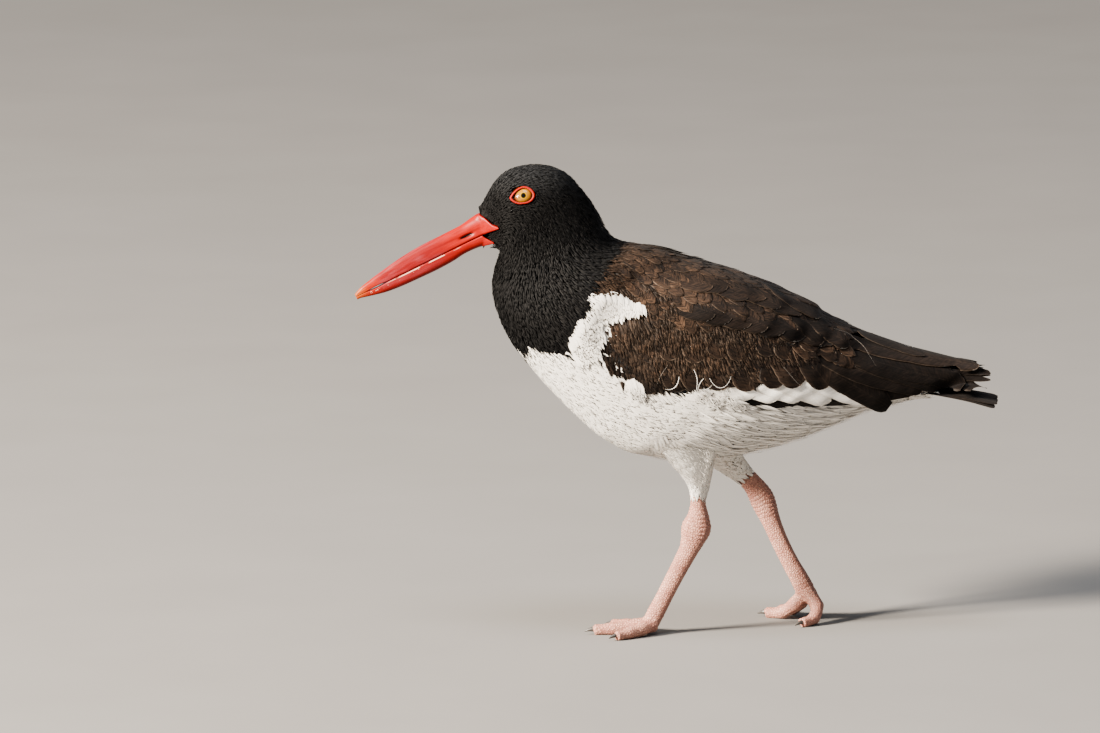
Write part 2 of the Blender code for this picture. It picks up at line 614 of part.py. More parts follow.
def mandible(name, upper, material, collection):
    """Upper or lower mandible, flat along the mouth line."""
    table = BILL_TOP if upper else BILL_BOTTOM
    rings = []
    for along in np.linspace(table[0][0], BILL_TOP[-1][0], BILL_SLICES):
        section = bill_section(along, upper, 0)
        section.append((section[0][0], 0))
        rings.append([bill_place(along, up, across) for up, across in section])
    return loft(name, rings, material, collection)


def bill_bed(material, cutters):
    """Both mandibles in one shape, grown by the gap, to hollow the face for them."""
    rings = []
    slices = np.linspace(BILL_TOP[0][0], BILL_TOP[-1][0], BILL_SLICES)[:BILL_BED_SLICES]
    for along in [slices[0] - BILL_BED_GAP, *slices]:
        over = bill_section(along, True, BILL_BED_GAP)
        under = bill_section(along, False, BILL_BED_GAP)[::-1]
        section = over + under[1:-1]
        rings.append([bill_place(along, up, across) for up, across in section])
    return loft("bill_bed", rings, material, cutters)


def take_up(obj, collection):
    """Moves a new primitive into a collection of the bird."""
    for owner in list(obj.users_collection):
        owner.objects.unlink(obj)
    collection.objects.link(obj)
    return obj


def make_bill(materials, collection, cutters):
    """Both mandibles, and a slit through the upper one for each nostril."""
    upper = mandible("bill_upper", True, materials["bill"], collection)
    mandible("bill_lower", False, materials["bill"], collection)
    along, up, length, half_height = NOSTRIL
    slots = []
    for side, _ in SIDES:
        middle = bill_place(along, up, side * (value(BILL_WIDTH, along) + NOSTRIL_OUT))
        bpy.ops.mesh.primitive_uv_sphere_add(segments=12, ring_count=6, radius=MM,
                                             location=Vector(middle) * MM)
        slot = bpy.context.object
        slot.scale = (length / 2, NOSTRIL_DEPTH, half_height)
        slot.rotation_euler = (0, -BILL_DIP, 0)
        bpy.ops.object.transform_apply(location=False, rotation=True, scale=True)
        slots.append(take_up(slot, cutters))
    cut(upper, slots)


def almond(turn):
    """The outline of the lids in side view, relative to the pupil, pointed and low in front."""
    front = math.cos(turn) < 0
    x = (LID_REACH_FRONT if front else LID_REACH_BACK) * math.cos(turn)
    rise = LID_RISE if math.sin(turn) > 0 else LID_DROP
    pinch = LID_PINCH_FRONT if front else LID_PINCH_BACK
    z = rise * math.copysign(abs(math.sin(turn)) ** pinch, math.sin(turn))
    return x, z + (LID_TILT * x if front else 0.0)


def on_head(skin, side, x, z, out=0.0):
    """The head's surface at a side-view place relative to the pupil, moved out by a distance."""
    start = Vector((EYE_AT[0] + x, side * 60, EYE_AT[1] + z))
    hit = skin.ray_cast(start * MM, Vector((0, -side, 0)))[0]
    return hit / MM + Vector((0, side * out, 0))


def eyeball(name, centre, material, collection):
    bpy.ops.mesh.primitive_uv_sphere_add(segments=16, ring_count=10, radius=EYE_RADIUS * MM,
                                         rotation=(math.pi / 2, 0, 0), location=centre * MM)
    ball = take_up(bpy.context.object, collection)
    bpy.ops.object.transform_apply(location=True, rotation=True, scale=False)
    ball.name = name
    ball.data.materials.append(material)
    return ball


def lid_ring(name, side, skin, rod, material, collection):
    """The bare lid as a closed rod that follows the almond over the side of the head."""
    rings = []
    for i in range(LID_STEPS):
        x, z = almond(2 * math.pi * i / LID_STEPS)
        point = on_head(skin, side, x, z, LID_STAND)
        outward = Vector((x, 0, z)).normalized()
        ring = []
        for k in range(LID_SIDES):
            turn = 2 * math.pi * k / LID_SIDES
            ring.append(point + outward * (rod * math.cos(turn))
                        + Vector((0, side * rod * LID_OVAL * math.sin(turn), 0)))
        rings.append(ring)
    return ring_solid(name, rings, material, collection)


def make_eyes(head, materials, collection, cutters):
    """Eyeballs in sockets of the head, each ringed by a bare fleshy lid."""
    skin = surface_of(head)
    sockets = []
    for side, label in SIDES:
        centre = on_head(skin, side, 0, 0, EYE_BULGE - EYE_RADIUS)
        eye = eyeball(f"eye_{label}", centre, materials["eye"], collection)
        lid = lid_ring(f"eyelid_{label}", side, skin, LID_ROD, materials["lid"], collection)
        socket = lid_ring(f"socket_{label}", side, skin, LID_ROD + GAP, materials["lid"], cutters)
        edge = [almond(2 * math.pi * i / LID_STEPS) for i in range(LID_STEPS)]
        plug = [[on_head(skin, side, x, z, out) for x, z in edge]
                for out in (-SOCKET_DEPTH, SOCKET_REACH)]
        join(socket, [loft(f"plug_{label}", plug, materials["lid"], cutters),
                      grown_copy(eye, GAP, cutters)])
        sockets.append(socket)
        cut(lid, [grown_copy(eye, GAP, cutters)])
    cut(head, sockets)


def ring_solid(name, rings, material, collection):
    """A closed loop of rings, such as a lid."""
    count = len(rings[0])
    points = [p for ring in rings for p in ring]
    faces = []
    for r in range(len(rings)):
        low, high = r * count, ((r + 1) % len(rings)) * count
        for k in range(count):
            n = (k + 1) % count
            faces.append((low + k, low + n, high + n, high + k))
    return place_mesh(name, points, faces, material, collection)


def limb_ring(row, tangent, count, shift=0.0):
    """One slice across a leg: deep fore and aft, narrow from side to side."""
    x, y, z, deep, wide = row
    tangent = Vector(tangent).normalized()
    fore = Vector((0, 1, 0)).cross(tangent).normalized()
    side = tangent.cross(fore).normalized()
    middle = Vector((x, y, z)) + tangent * shift
    return [middle + fore * deep * math.cos(2 * math.pi * k / count)
            + side * wide * math.sin(2 * math.pi * k / count) for k in range(count)]


def limb(name, stations, first, last, rings, count, trim, material, collection):
    """Part of a leg between two station numbers; trim says which ends give half the gap."""
    table = numbered(stations)
    places = np.linspace(first, last, rings)
    slices = []
    for i, at in enumerate(places):
        row = smooth(table, at)[0]
        tangent = smooth(table, min(at + 0.1, len(table) - 1))[0][:3] - smooth(
            table, max(at - 0.1, 0))[0][:3]
        shift = 0.0
        if i == 0 and trim[0]:
            shift = GAP / 2
        if i == rings - 1 and trim[1]:
            shift = -GAP / 2
        slices.append(limb_ring(row, tangent, count, shift))
    return loft(name, slices, material, collection)


def toe_rings(path):
    """Slices along a toe, upright and rounded, from a path of x, y, z, half width, half height."""
    table = numbered(path)
    rings = []
    for at in np.linspace(0, len(path) - 1, TOE_SLICES):
        x, y, z, wide, tall = smooth(table, at)[0]
        ahead = smooth(table, min(at + 0.1, len(path) - 1))[0][:3]
        behind = smooth(table, max(at - 0.1, 0))[0][:3]
        tangent = Vector(ahead - behind).normalized()
        side = tangent.cross(Vector((0, 0, 1))).normalized()
        up = side.cross(tangent).normalized()
        joint = 1 + TOE_JOINT * math.cos(2 * math.pi * at)
        ring = []
        for k in range(TOE_SIDES):
            turn = 2 * math.pi * k / TOE_SIDES
            ring.append(Vector((x, y, z)) + side * (wide * joint * math.cos(turn))
                        + up * (tall * joint * math.sin(turn)))
        rings.append(ring)
    return rings


def floor_cutter(cutters):
    bpy.ops.mesh.primitive_cube_add(size=1, location=(0, 0, -FLOOR_BLOCK[2] / 2))
    block = take_up(bpy.context.object, cutters)
    block.scale = FLOOR_BLOCK
    bpy.ops.object.transform_apply(location=False, rotation=False, scale=True)
    return block


def make_claw(name, path, materials, collection):
    """A short blunt nail that meets the end of its toe face to face."""
    end, before = Vector(path[-1][:3]), Vector(path[-2][:3])
    tangent = (end - before).normalized()
    forward = Vector((tangent.x, tangent.y, 0)).normalized()
    slope = tangent.z / math.hypot(tangent.x, tangent.y)
    side = forward.cross(Vector((0, 0, 1)))
    half_width, half_height = path[-1][3] * CLAW_WIDTH, path[-1][4] * CLAW_HEIGHT
    rings = []
    for t in np.linspace(0, 1, CLAW_SLICES):
        size = 1 - CLAW_TAPER * t**1.3
        middle = end + tangent * CLAW_GAP + forward * CLAW_LENGTH * t
        middle.z = max(middle.z + CLAW_RISE - CLAW_DROP * t**2, half_height * size + CLAW_CLEAR)
        upright = (Vector((0, 0, 1)) - forward * slope * (1 - t)).normalized()
        ring = []
        for k in range(CLAW_SIDES):
            turn = 2 * math.pi * k / CLAW_SIDES
            ring.append(middle + side * (half_width * size * math.cos(turn))
                        + upright * (half_height * size * math.sin(turn)))
        rings.append(ring)
    loft(name, rings, materials["claw"], collection)


def make_foot(side, label, tarsus, materials, collection, cutters):
    """Three toes and the ankle pad in one piece, flat under the soles, with a claw on each toe."""
    stations = LEFT_LEG if side == LEFT else RIGHT_LEG
    foot = limb(f"foot_{label}", stations, LEG_ENDS[side], len(stations) - 1, 4, 14,
                (True, False), materials["leg"], collection)
    toes = []
    for toe in ("inner", "middle", "outer"):
        path = TOES[side, toe]
        toes.append(loft(f"toe_{label}_{toe}", toe_rings(path), materials["leg"], collection))
        make_claw(f"claw_{label}_{toe}", path, materials, collection)
    join(foot, toes)
    cut(foot, [floor_cutter(cutters), grown_copy(tarsus, FOOT_GAP, cutters)])


def make_leg(side, label, torso, materials, collection, cutters):
    stations = LEFT_LEG if side == LEFT else RIGHT_LEG
    thigh = limb(f"thigh_{label}", stations, 0, FEATHERS_END[side], 8, 16, (False, True),
                 materials["white"], collection)
    limb(f"shank_{label}", stations, FEATHERS_END[side], HOCK_ENDS[side], 9, 14, (True, True),
         materials["leg"], collection)
    tarsus = limb(f"tarsus_{label}", stations, HOCK_ENDS[side], LEG_ENDS[side], 7, 14,
                  (True, True), materials["leg"], collection)
    cut(thigh, [grown_copy(torso, GAP, cutters)])
    make_foot(side, label, tarsus, materials, collection, cutters)


def main():
    clear_scene()
    bird = make_collection("oystercatcher")
    cutters = make_collection("cutters")
    materials = {
        "black": make_material("black_plumage", (0.012, 0.012, 0.013), 0.75),
        "torso": make_material("torso_plumage", (0.62, 0.60, 0.56), 0.85),
        "white": make_material("white_plumage", (0.78, 0.75, 0.69), 0.85),
        "wing": make_material("brown_plumage", (0.052, 0.035, 0.024), 0.7),
        "tail": make_material("tail_plumage", (0.014, 0.012, 0.012), 0.6),
        "bill": make_material("bill_horn", (0.72, 0.06, 0.035), 0.38),
        "eye": make_material("eye_iris", (0.85, 0.42, 0.01), 0.08),
        "lid": make_material("lid_flesh", (0.75, 0.06, 0.01), 0.4),
        "leg": make_material("leg_skin", (0.62, 0.36, 0.29), 0.6),
        "claw": make_material("claw_horn", (0.03, 0.025, 0.022), 0.4),
    }
    head = body_solid("head", 0, NECK_STARTS, 12, 26, materials["black"], bird)
    body_solid("neck", NECK_STARTS, TORSO_STARTS, 5, 26, materials["black"], bird)
    torso = body_solid("torso", TORSO_STARTS, len(BODY) - 1, 15, 30, materials["torso"], bird)
    make_bill(materials, bird, cutters)
    cut(head, [bill_bed(materials["bill"], cutters)])
    make_eyes(head, materials, bird, cutters)
    for side, label in SIDES:
        make_leg(side, label, torso, materials, bird, cutters)
    for side, label in SIDES:
        make_wing(side, label, materials, bird)
    cut(torso, [wing_shell(f"bed_{label}", side, True, materials["wing"], cutters)
                for side, label in SIDES], "MANIFOLD")
    make_tail(materials, bird)
    for obj in bird.objects:
        obj.data.shade_smooth()
        obj.data.set_sharp_from_angle(angle=math.radians(50))


main()
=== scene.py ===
"""How a life-size American oystercatcher looks: skin, plumage, bill, eyes and legs round its solids.

The bird faces -X, its left side faces -Y and the floor is Z = 0. Sizes and places on the bird are
millimetres, and MM turns them into metres where a mesh is made.
"""

import math

import bpy
import numpy as np
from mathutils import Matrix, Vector
from mathutils.bvhtree import BVHTree


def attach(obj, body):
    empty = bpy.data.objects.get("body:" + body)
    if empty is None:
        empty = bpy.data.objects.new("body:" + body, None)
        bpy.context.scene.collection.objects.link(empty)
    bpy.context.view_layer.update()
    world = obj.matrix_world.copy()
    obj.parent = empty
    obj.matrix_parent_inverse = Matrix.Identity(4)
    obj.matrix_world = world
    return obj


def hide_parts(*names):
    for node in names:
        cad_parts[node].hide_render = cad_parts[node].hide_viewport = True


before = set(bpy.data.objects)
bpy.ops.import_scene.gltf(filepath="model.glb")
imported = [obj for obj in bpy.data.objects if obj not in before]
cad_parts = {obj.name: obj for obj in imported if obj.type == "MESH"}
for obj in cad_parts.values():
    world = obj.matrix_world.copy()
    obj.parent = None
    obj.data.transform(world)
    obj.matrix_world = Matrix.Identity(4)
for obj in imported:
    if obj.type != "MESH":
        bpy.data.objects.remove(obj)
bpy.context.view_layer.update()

# The camera looks square at the bird's left side from a little above, through a long lens, so
# that the near and far legs keep the same scale. Its sizes are in metres.
CAMERA_TARGET = Vector((-0.0721, 0.0, 0.1525))
CAMERA_DISTANCE, CAMERA_RISE = 7.0, math.radians(10)
CAMERA_WAY = Vector((0, -math.cos(CAMERA_RISE), math.sin(CAMERA_RISE)))
FRAME_WIDTH = 0.627  # across the frame at the bird


def put(name, data):
    """An object in the scene, made of its data."""
    obj = bpy.data.objects.new(name, data)
    bpy.context.scene.collection.objects.link(obj)
    return obj


camera = put("camera", bpy.data.cameras.new("camera"))
camera.data.lens = camera.data.sensor_width * CAMERA_DISTANCE / FRAME_WIDTH
camera.data.clip_end = 100
camera.location = CAMERA_TARGET + CAMERA_DISTANCE * CAMERA_WAY
camera.rotation_euler = (math.pi / 2 - CAMERA_RISE, 0, 0)
bpy.context.scene.camera = camera

# The studio: a plain pale floor, a soft warm key light from in front of the bird and to its left,
# a broad cool light from above, and an even, slightly cool light from all round, in metres.
LAMPS = (  # name, place, size, power, colour
    ("key_light", Vector((-3.7, -2.0, 2.0)), 0.8, 2300.0, (1.0, 0.9, 0.77)),
    ("top_light", Vector((0.3, -0.9, 4.0)), 1.5, 200.0, (0.93, 0.96, 1.0)),
)
LIT_PLACE = Vector((0, 0, 0.15))
SKY_COLOUR, SKY_POWER = (0.84, 0.9, 1.0, 1), 0.34
FLOOR_SIZE = 14.0


class Value:
    """A number, colour or vector inside a finish. Arithmetic on it adds nodes to the finish."""

    def __init__(self, finish, socket):
        self.finish, self.socket = finish, socket

    def step(self, operation, other=0.0):
        """One step of arithmetic, with this value first."""
        return self.finish.node("ShaderNodeMath", {0: self, 1: other}, operation=operation)

    def __add__(self, other):
        return self.step("ADD", other)

    def __sub__(self, other):
        return self.step("SUBTRACT", other)

    def __rsub__(self, other):
        return self.finish.node("ShaderNodeMath", {0: other, 1: self}, operation="SUBTRACT")

    def __mul__(self, other):
        return self.step("MULTIPLY", other)

    def __truediv__(self, other):
        return self.step("DIVIDE", other)

    def __abs__(self):
        return self.step("ABSOLUTE")

    def between(self, low, high, to_low=0.0, to_high=1.0):
        """The value carried smoothly from the range low..high to the range to_low..to_high."""
        return self.finish.node("ShaderNodeMapRange", {0: self, 1: low, 2: high, 3: to_low, 4: to_high},
                                interpolation_type="SMOOTHSTEP")

    def blend(self, first, second):
        """Two colours mixed, this value being the share of the second."""
        return self.finish.node("ShaderNodeMix", {0: self, 6: first, 7: second}, 2, data_type="RGBA")

    def lit(self, light):
        """This colour made lighter or darker."""
        return self.finish.node("ShaderNodeVectorMath", {0: self, 3: light}, operation="SCALE")

    def parts(self):
        """The three parts of this vector."""
        first = self.finish.node("ShaderNodeSeparateXYZ", {0: self})
        return [Value(self.finish, socket) for socket in first.socket.node.outputs]


class Finish:
    """A material, and short calls that add nodes to it."""

    def __init__(self, name, **sockets):
        self.material = bpy.data.materials.new(name)
        self.material.use_nodes = True
        self.tree = self.material.node_tree
        self.feed(**sockets)

    def join(self, node, inputs):
        """Joins or sets a node's inputs."""
        for key, value in inputs.items():
            if isinstance(value, Value):
                self.tree.links.new(value.socket, node.inputs[key])
            else:
                node.inputs[key].default_value = value

    def feed(self, **sockets):
        """Joins or sets the shader's own sockets."""
        self.join(self.tree.nodes["Principled BSDF"],
                  {key.replace("_", " "): value for key, value in sockets.items()})

    def node(self, kind, inputs=(), out=0, **settings):
        """A new node with its settings and inputs, as the value that it gives out."""
        node = self.tree.nodes.new(kind)
        for key, value in settings.items():
            setattr(node, key, value)
        self.join(node, dict(inputs))
        return Value(self, node.outputs[out])

    def vector(self, x, y, z=0.0):
        return self.node("ShaderNodeCombineXYZ", {0: x, 1: y, 2: z})

    def where(self):
        """The place on the bird, in metres."""
        return self.node("ShaderNodeTexCoord", out="Object")

    def layer(self, name):
        """The three parts of a layer that a mesh carries."""
        return self.node("ShaderNodeAttribute", out="Vector", attribute_name=name).parts()

    def speckle(self, vector, scale, detail=2.0, rough=0.5):
        """Soft noise between about 0.2 and 0.8."""
        return self.node("ShaderNodeTexNoise",
                         {"Vector": vector, "Scale": scale, "Detail": detail, "Roughness": rough})

    def bump(self, height, distance, strength):
        return self.node("ShaderNodeBump", {"Height": height, "Distance": distance, "Strength": strength})


floor_finish = Finish("floor_finish", Roughness=0.9, Specular_IOR_Level=0.2)
spots = floor_finish.speckle(floor_finish.where(), 9.0, 3.0)
floor_finish.feed(Base_Color=spots.blend((0.145, 0.136, 0.127, 1), (0.166, 0.157, 0.147, 1)))
floor_mesh = bpy.data.meshes.new("floor")
half = FLOOR_SIZE / 2
floor_mesh.from_pydata([(-half, -half, 0), (half, -half, 0), (half, half, 0), (-half, half, 0)], [],
                       [(0, 1, 2, 3)])
floor_mesh.materials.append(floor_finish.material)
floor = put("floor", floor_mesh)

for name, place, size, power, tint in LAMPS:
    lamp = put(name, bpy.data.lights.new(name, "AREA"))
    lamp.data.energy, lamp.data.size, lamp.data.color = power, size, tint
    lamp.location = place
    lamp.rotation_euler = (LIT_PLACE - place).to_track_quat("-Z", "Y").to_euler()
sky = bpy.data.worlds.new("sky")
sky.use_nodes = True
sky.node_tree.nodes["Background"].inputs[0].default_value = SKY_COLOUR
sky.node_tree.nodes["Background"].inputs[1].default_value = SKY_POWER
bpy.context.scene.world = sky

# The skin: the flesh of head, neck, body and tail root in one closed shell. It is read from the
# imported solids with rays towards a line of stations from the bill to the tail, as rings of places
# that the feathers are laid on too.
MM = 0.001
SPINE = (  # throat or belly point (x, z), crown or back point (x, z)
    (-107.7, 221.4, -112.8, 243.5), (-102.3, 220.5, -105.7, 256.4), (-100.6, 218.8, -88.1, 268.6),
    (-102.3, 214.2, -62.4, 264.5), (-104.6, 205.5, -45.3, 243.1), (-104.6, 192.2, -35.6, 226.3),
    (-96.0, 169.6, -15.1, 221.7), (-73.2, 140.6, 21.9, 210.7), (-35.1, 105.9, 61.8, 191.6),
    (13.4, 99.6, 90.3, 170.2), (64.7, 110.0, 116.0, 155.1), (109.2, 129.1, 134.2, 146.4),
    (142.0, 134.5, 151.0, 146.0), (162.0, 134.0, 167.0, 152.0), (185.0, 131.0, 187.0, 151.0),
)
RINGS, TURNS = 210, 120
RAY_START = 90.0
THROAT_END = 3.2  # before this station no ray may start behind the throat
BODY_NODES = ("head", "neck", "torso", "tail", "eye_left", "eye_right", "eyelid_left", "eyelid_right")
SKIN_DEPTH = ((0, 0.5), (1, 0.9), (3, 1.6), (6, 2.6), (10, 2.8), (14, 1.6))  # by station
SKIN_END = 12.3  # station where the skin closes, inside the tail coverts
SPINE_STEPS = 1401  # fine steps along the spine, by which the rings are spaced
THROAT_GAP = 1.5  # how far outside the throat a ray starts
LEAST_LEAN = 0.2  # how much a ray has to come from the throat's side to start close to it
FACE_START, FACE_LENGTH, FACE_NARROWING = -97.0, 13.0, 0.36


def smooth(table, at):
    """Rows of a table whose first column rises, read smoothly at the places in at."""
    rows = np.asarray(table, float)
    place, rest = rows[:, 0], rows[:, 1:]
    slope = np.gradient(rest, place, axis=0)
    at = np.clip(np.atleast_1d(np.asarray(at, float)), place[0], place[-1])
    i = np.clip(np.searchsorted(place, at, side="right") - 1, 0, len(place) - 2)
    step = (place[i + 1] - place[i])[:, None]
    t = (at - place[i])[:, None] / step
    start = (2 * t**3 - 3 * t**2 + 1) * rest[i] + (t**3 - 2 * t**2 + t) * step * slope[i]
    end = (3 * t**2 - 2 * t**3) * rest[i + 1] + (t**3 - t**2) * step * slope[i + 1]
    return start + end


def numbered(stations):
    return [(i, *row) for i, row in enumerate(stations)]


def unit(vectors):
    return vectors / np.maximum(np.linalg.norm(vectors, axis=-1, keepdims=True), 1e-9)


class Form:
    """A grid of rings along a part of the bird and turns round it, which feathers are laid on."""

    def __init__(self, place):
        self.rings, self.turns = place.shape[:2]
        self.place = place
        self.along = np.gradient(place, axis=0)
        self.around = (np.roll(place, -1, 1) - np.roll(place, 1, 1)) / 2
        out = unit(np.cross(self.around, self.along))
        for _ in range(2):
            out = unit(out + np.roll(out, 1, 1) + np.roll(out, -1, 1))
        self.out = out

    def read(self, grid, s, a):
        """A grid's values at places s along and a round the form."""
        s = np.clip(s, 0, self.rings - 1.001)
        i = s.astype(int)
        f = (s - i)[..., None]
        a = a % self.turns
        j = np.minimum(a.astype(int), self.turns - 1)
        g = (a - j)[..., None]
        n = (j + 1) % self.turns
        return ((grid[i, j] * (1 - g) + grid[i, n] * g) * (1 - f)
                + (grid[i + 1, j] * (1 - g) + grid[i + 1, n] * g) * f)

    def steer(self, s, a, way):
        """The steps along and round that move a point of the form by way, in millimetres."""
        u, v = self.read(self.along, s, a), self.read(self.around, s, a)
        uu, uv, vv = (u * u).sum(-1), (u * v).sum(-1), (v * v).sum(-1)
        wu, wv = (way * u).sum(-1), (way * v).sum(-1)
        det = np.maximum(uu * vv - uv * uv, 0.01 * uu * vv + 1e-4)
        return (vv * wu - uv * wv) / det, (uu * wv - uv * wu) / det

    def find(self, side, x, z):
        """The places that show at (x, z) when the form is seen from one side of the bird."""
        half = self.turns // 2
        columns = np.arange(1, half) if side > 0 else np.arange(half + 1, self.turns)
        seen = self.place[:, columns][..., [0, 2]].reshape(-1, 2)
        away = (self.out[:, columns][..., 1].reshape(-1) * side < 0.05) * 400.0
        x, z = np.asarray(x, float), np.asarray(z, float)
        goal = np.stack([x.ravel(), z.ravel()], -1)
        best = np.concatenate([(((seen[None] - part[:, None]) ** 2).sum(-1) + away).argmin(1)
                               for part in np.array_split(goal, max(1, len(goal) // 100))])
        s, a = (best // len(columns)).astype(float), columns[best % len(columns)].astype(float)
        for _ in range(4):
            gap = goal - self.read(self.place, s, a)[:, [0, 2]]
            u, v = self.read(self.along, s, a)[:, [0, 2]], self.read(self.around, s, a)[:, [0, 2]]
            det = u[:, 0] * v[:, 1] - u[:, 1] * v[:, 0]
            det = np.where(np.abs(det) < 0.2, 0.2 * np.sign(det + 1e-9), det)
            s = s + np.clip((gap[:, 0] * v[:, 1] - gap[:, 1] * v[:, 0]) / det, -1, 1)
            a = a + np.clip((u[:, 0] * gap[:, 1] - u[:, 1] * gap[:, 0]) / det, -1, 1)
        return s.reshape(x.shape), a.reshape(x.shape)


def solids_tree(names):
    """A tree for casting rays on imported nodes, in millimetres, and the node that owns each face."""
    points, faces, owners = [], [], []
    for number, name in enumerate(names):
        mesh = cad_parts[name].data
        first = len(points)
        points += [Vector(v.co) / MM for v in mesh.vertices]
        for face in mesh.polygons:
            faces.append([first + i for i in face.vertices])
            owners.append(number)
    return BVHTree.FromPolygons(points, faces), np.array(owners)


def spread_max(grid, reach):
    """Each value raised to the highest within reach cells."""
    for _ in range(reach):
        tall = np.maximum(grid, np.maximum(np.roll(grid, 1, 1), np.roll(grid, -1, 1)))
        padded = np.pad(tall, ((1, 1), (0, 0)), "edge")
        grid = np.maximum(tall, np.maximum(padded[:-2], padded[2:]))
    return grid


def soften(grid, times):
    for _ in range(times):
        grid = (grid * 2 + np.roll(grid, 1, 1) + np.roll(grid, -1, 1)) / 4
        padded = np.pad(grid, ((1, 1), (0, 0)), "edge")
        grid = (padded[1:-1] * 2 + padded[:-2] + padded[2:]) / 4
    return grid


def taper(x):
    """How far the face narrows towards the bill, as a share of its width."""
    share = np.clip((FACE_START - x) / FACE_LENGTH, 0, 1)
    return 1 - FACE_NARROWING * share * share * (3 - 2 * share)


def read_outline(names, closing, blur):
    """The outside of the named solids as rings along the bird, and the node that owns each place."""
    stations = np.linspace(0, len(SPINE) - 1, SPINE_STEPS)
    fine = smooth(numbered(SPINE), stations)
    moves = np.maximum(np.linalg.norm(np.diff(fine[:, :2], axis=0), axis=1),
                       np.linalg.norm(np.diff(fine[:, 2:], axis=0), axis=1))
    travel = np.concatenate([[0], np.cumsum(moves)])
    station = np.interp(np.linspace(0, travel[-1], RINGS), travel, stations)
    rows = smooth(numbered(SPINE), station)
    belly, back = (np.stack([rows[:, k], 0 * rows[:, k], rows[:, k + 1]], -1) for k in (0, 2))
    middle, up = (belly + back) / 2, unit(back - belly)
    tall = np.linalg.norm(back - belly, axis=1) / 2
    turn = 2 * math.pi * np.arange(TURNS) / TURNS
    ways = (-np.cos(turn)[None, :, None] * up[:, None]
            + np.sin(turn)[None, :, None] * np.array([0.0, 1.0, 0.0]))
    solids, owners = solids_tree(names)
    reach = np.full((RINGS, TURNS), np.nan)
    owner = np.full((RINGS, TURNS), -1)
    for i in range(RINGS):
        for j in range(TURNS):
            way = Vector(ways[i, j])
            lean = max(float(np.cos(turn[j])), LEAST_LEAN)
            short = station[i] < THROAT_END and lean > LEAST_LEAN
            start = (tall[i] + THROAT_GAP) / lean if short else RAY_START
            hit = solids.ray_cast(Vector(middle[i]) + way * start, -way, start)
            if hit[0] is not None and hit[1].dot(way) < 0:
                reach[i, j] = tall[i] / lean
            elif hit[0] is not None:
                reach[i, j] = start - hit[3]
                owner[i, j] = owners[hit[2]]
    while np.isnan(reach).any():
        lost = np.isnan(reach)
        near = np.stack([np.roll(reach, 1, 1), np.roll(reach, -1, 1),
                         np.pad(reach, ((1, 0), (0, 0)), "edge")[:-1],
                         np.pad(reach, ((0, 1), (0, 0)), "edge")[1:]])
        known = ~np.isnan(near)
        mean = np.where(known, near, 0).sum(0) / np.maximum(known.sum(0), 1)
        reach = np.where(lost & known.any(0), mean, reach)
    reach = soften(-spread_max(-spread_max(reach, closing), closing), blur)
    place = middle[:, None] + ways * reach[..., None]
    place[..., 1] *= taper(place[..., 0])
    return Form(place), owner, station


bare, _, station_of = read_outline(BODY_NODES, 3, 2)
dressed, owner, _ = read_outline(BODY_NODES + ("wing_left", "wing_right"), 2, 2)
under_wing = owner >= len(BODY_NODES)
ring_of = np.interp(np.arange(len(SPINE)), station_of, np.arange(RINGS))


def ring_at(station):
    """The ring number of a station of the spine."""
    return np.interp(station, np.arange(len(SPINE)), ring_of)


# Where the coat is black, brown or white, as outlines in side view. Heights are as the camera
# sees them, so that a mark crosses the curve of the breast as it does on the real bird.
VIEW_SLOPE = 0.1763  # how far a place sinks in the camera's view for each step off the middle
BLACK_AREA = (
    (-200, 163.2), (-93.4, 163.2), (-86.4, 158), (-83.5, 163.2), (-75, 160.9), (-65.5, 159.7),
    (-59.7, 162.6), (-58.5, 170.9), (-53.9, 178.6), (-48.2, 187), (-50.4, 194.5), (-49.9, 202.8),
    (-42.8, 212.4), (-37, 219.9), (-36, 224.9), (-30, 240), (-30, 320), (-200, 320),
)
BROWN_AREA = (
    (-60, 205), (-46, 192), (-41, 195), (-13, 192), (0, 182), (30, 168), (60, 156), (90, 146),
    (112, 141), (120, 146), (120, 170), (60, 260), (-70, 260), (-70, 215),
)
SHOULDER_PATCH = (
    (-60, 168), (-53.9, 178.6), (-47.4, 186.4), (-41, 194.5), (-30.2, 194.6), (-27.5, 191.3),
    (-19.7, 191), (-14.8, 189), (-16.1, 185), (-24, 184), (-32, 182.4), (-41.9, 180.4),
    (-47.5, 172.7), (-48, 165), (-56, 160),
)
WING_AREA = ((-46, 182), (-42, 172), (-31, 157), (-22, 148), (-12, 140), (60, 138), (110, 133),
             (120, 150), (60, 200), (-20, 196), (-44, 184))
GAPE_AREA = ((-114, 227.6), (-109, 229.6), (-104.6, 232.0), (-101.2, 234.8), (-104.9, 236.6),
             (-108.5, 240.0), (-113, 246))
CHIN_AREA = ((-114, 226), (-109.4, 227.0), (-106.5, 226.3), (-103.6, 224.9), (-106, 222.8), (-114, 218))
BILL_ROOT = (-108.0, 236.0)  # no flesh or feather in front of and below this place


def inside(area, x, z):
    """Whether side-view places lie inside an outline."""
    corners = np.array(area, float)
    found = np.zeros(np.shape(x), bool)
    for (ax, az), (bx, bz) in zip(corners, np.roll(corners, -1, 0)):
        crosses = (az > z) != (bz > z)
        meet = ax + (z - az) / (bz - az if bz != az else 1e-9) * (bx - ax)
        found ^= crosses & (x < meet)
    return found


def seen_height(points):
    """The height at which the camera sees points, once they are brought to the bird's middle."""
    return points[..., 2] - VIEW_SLOPE * np.abs(points[..., 1])


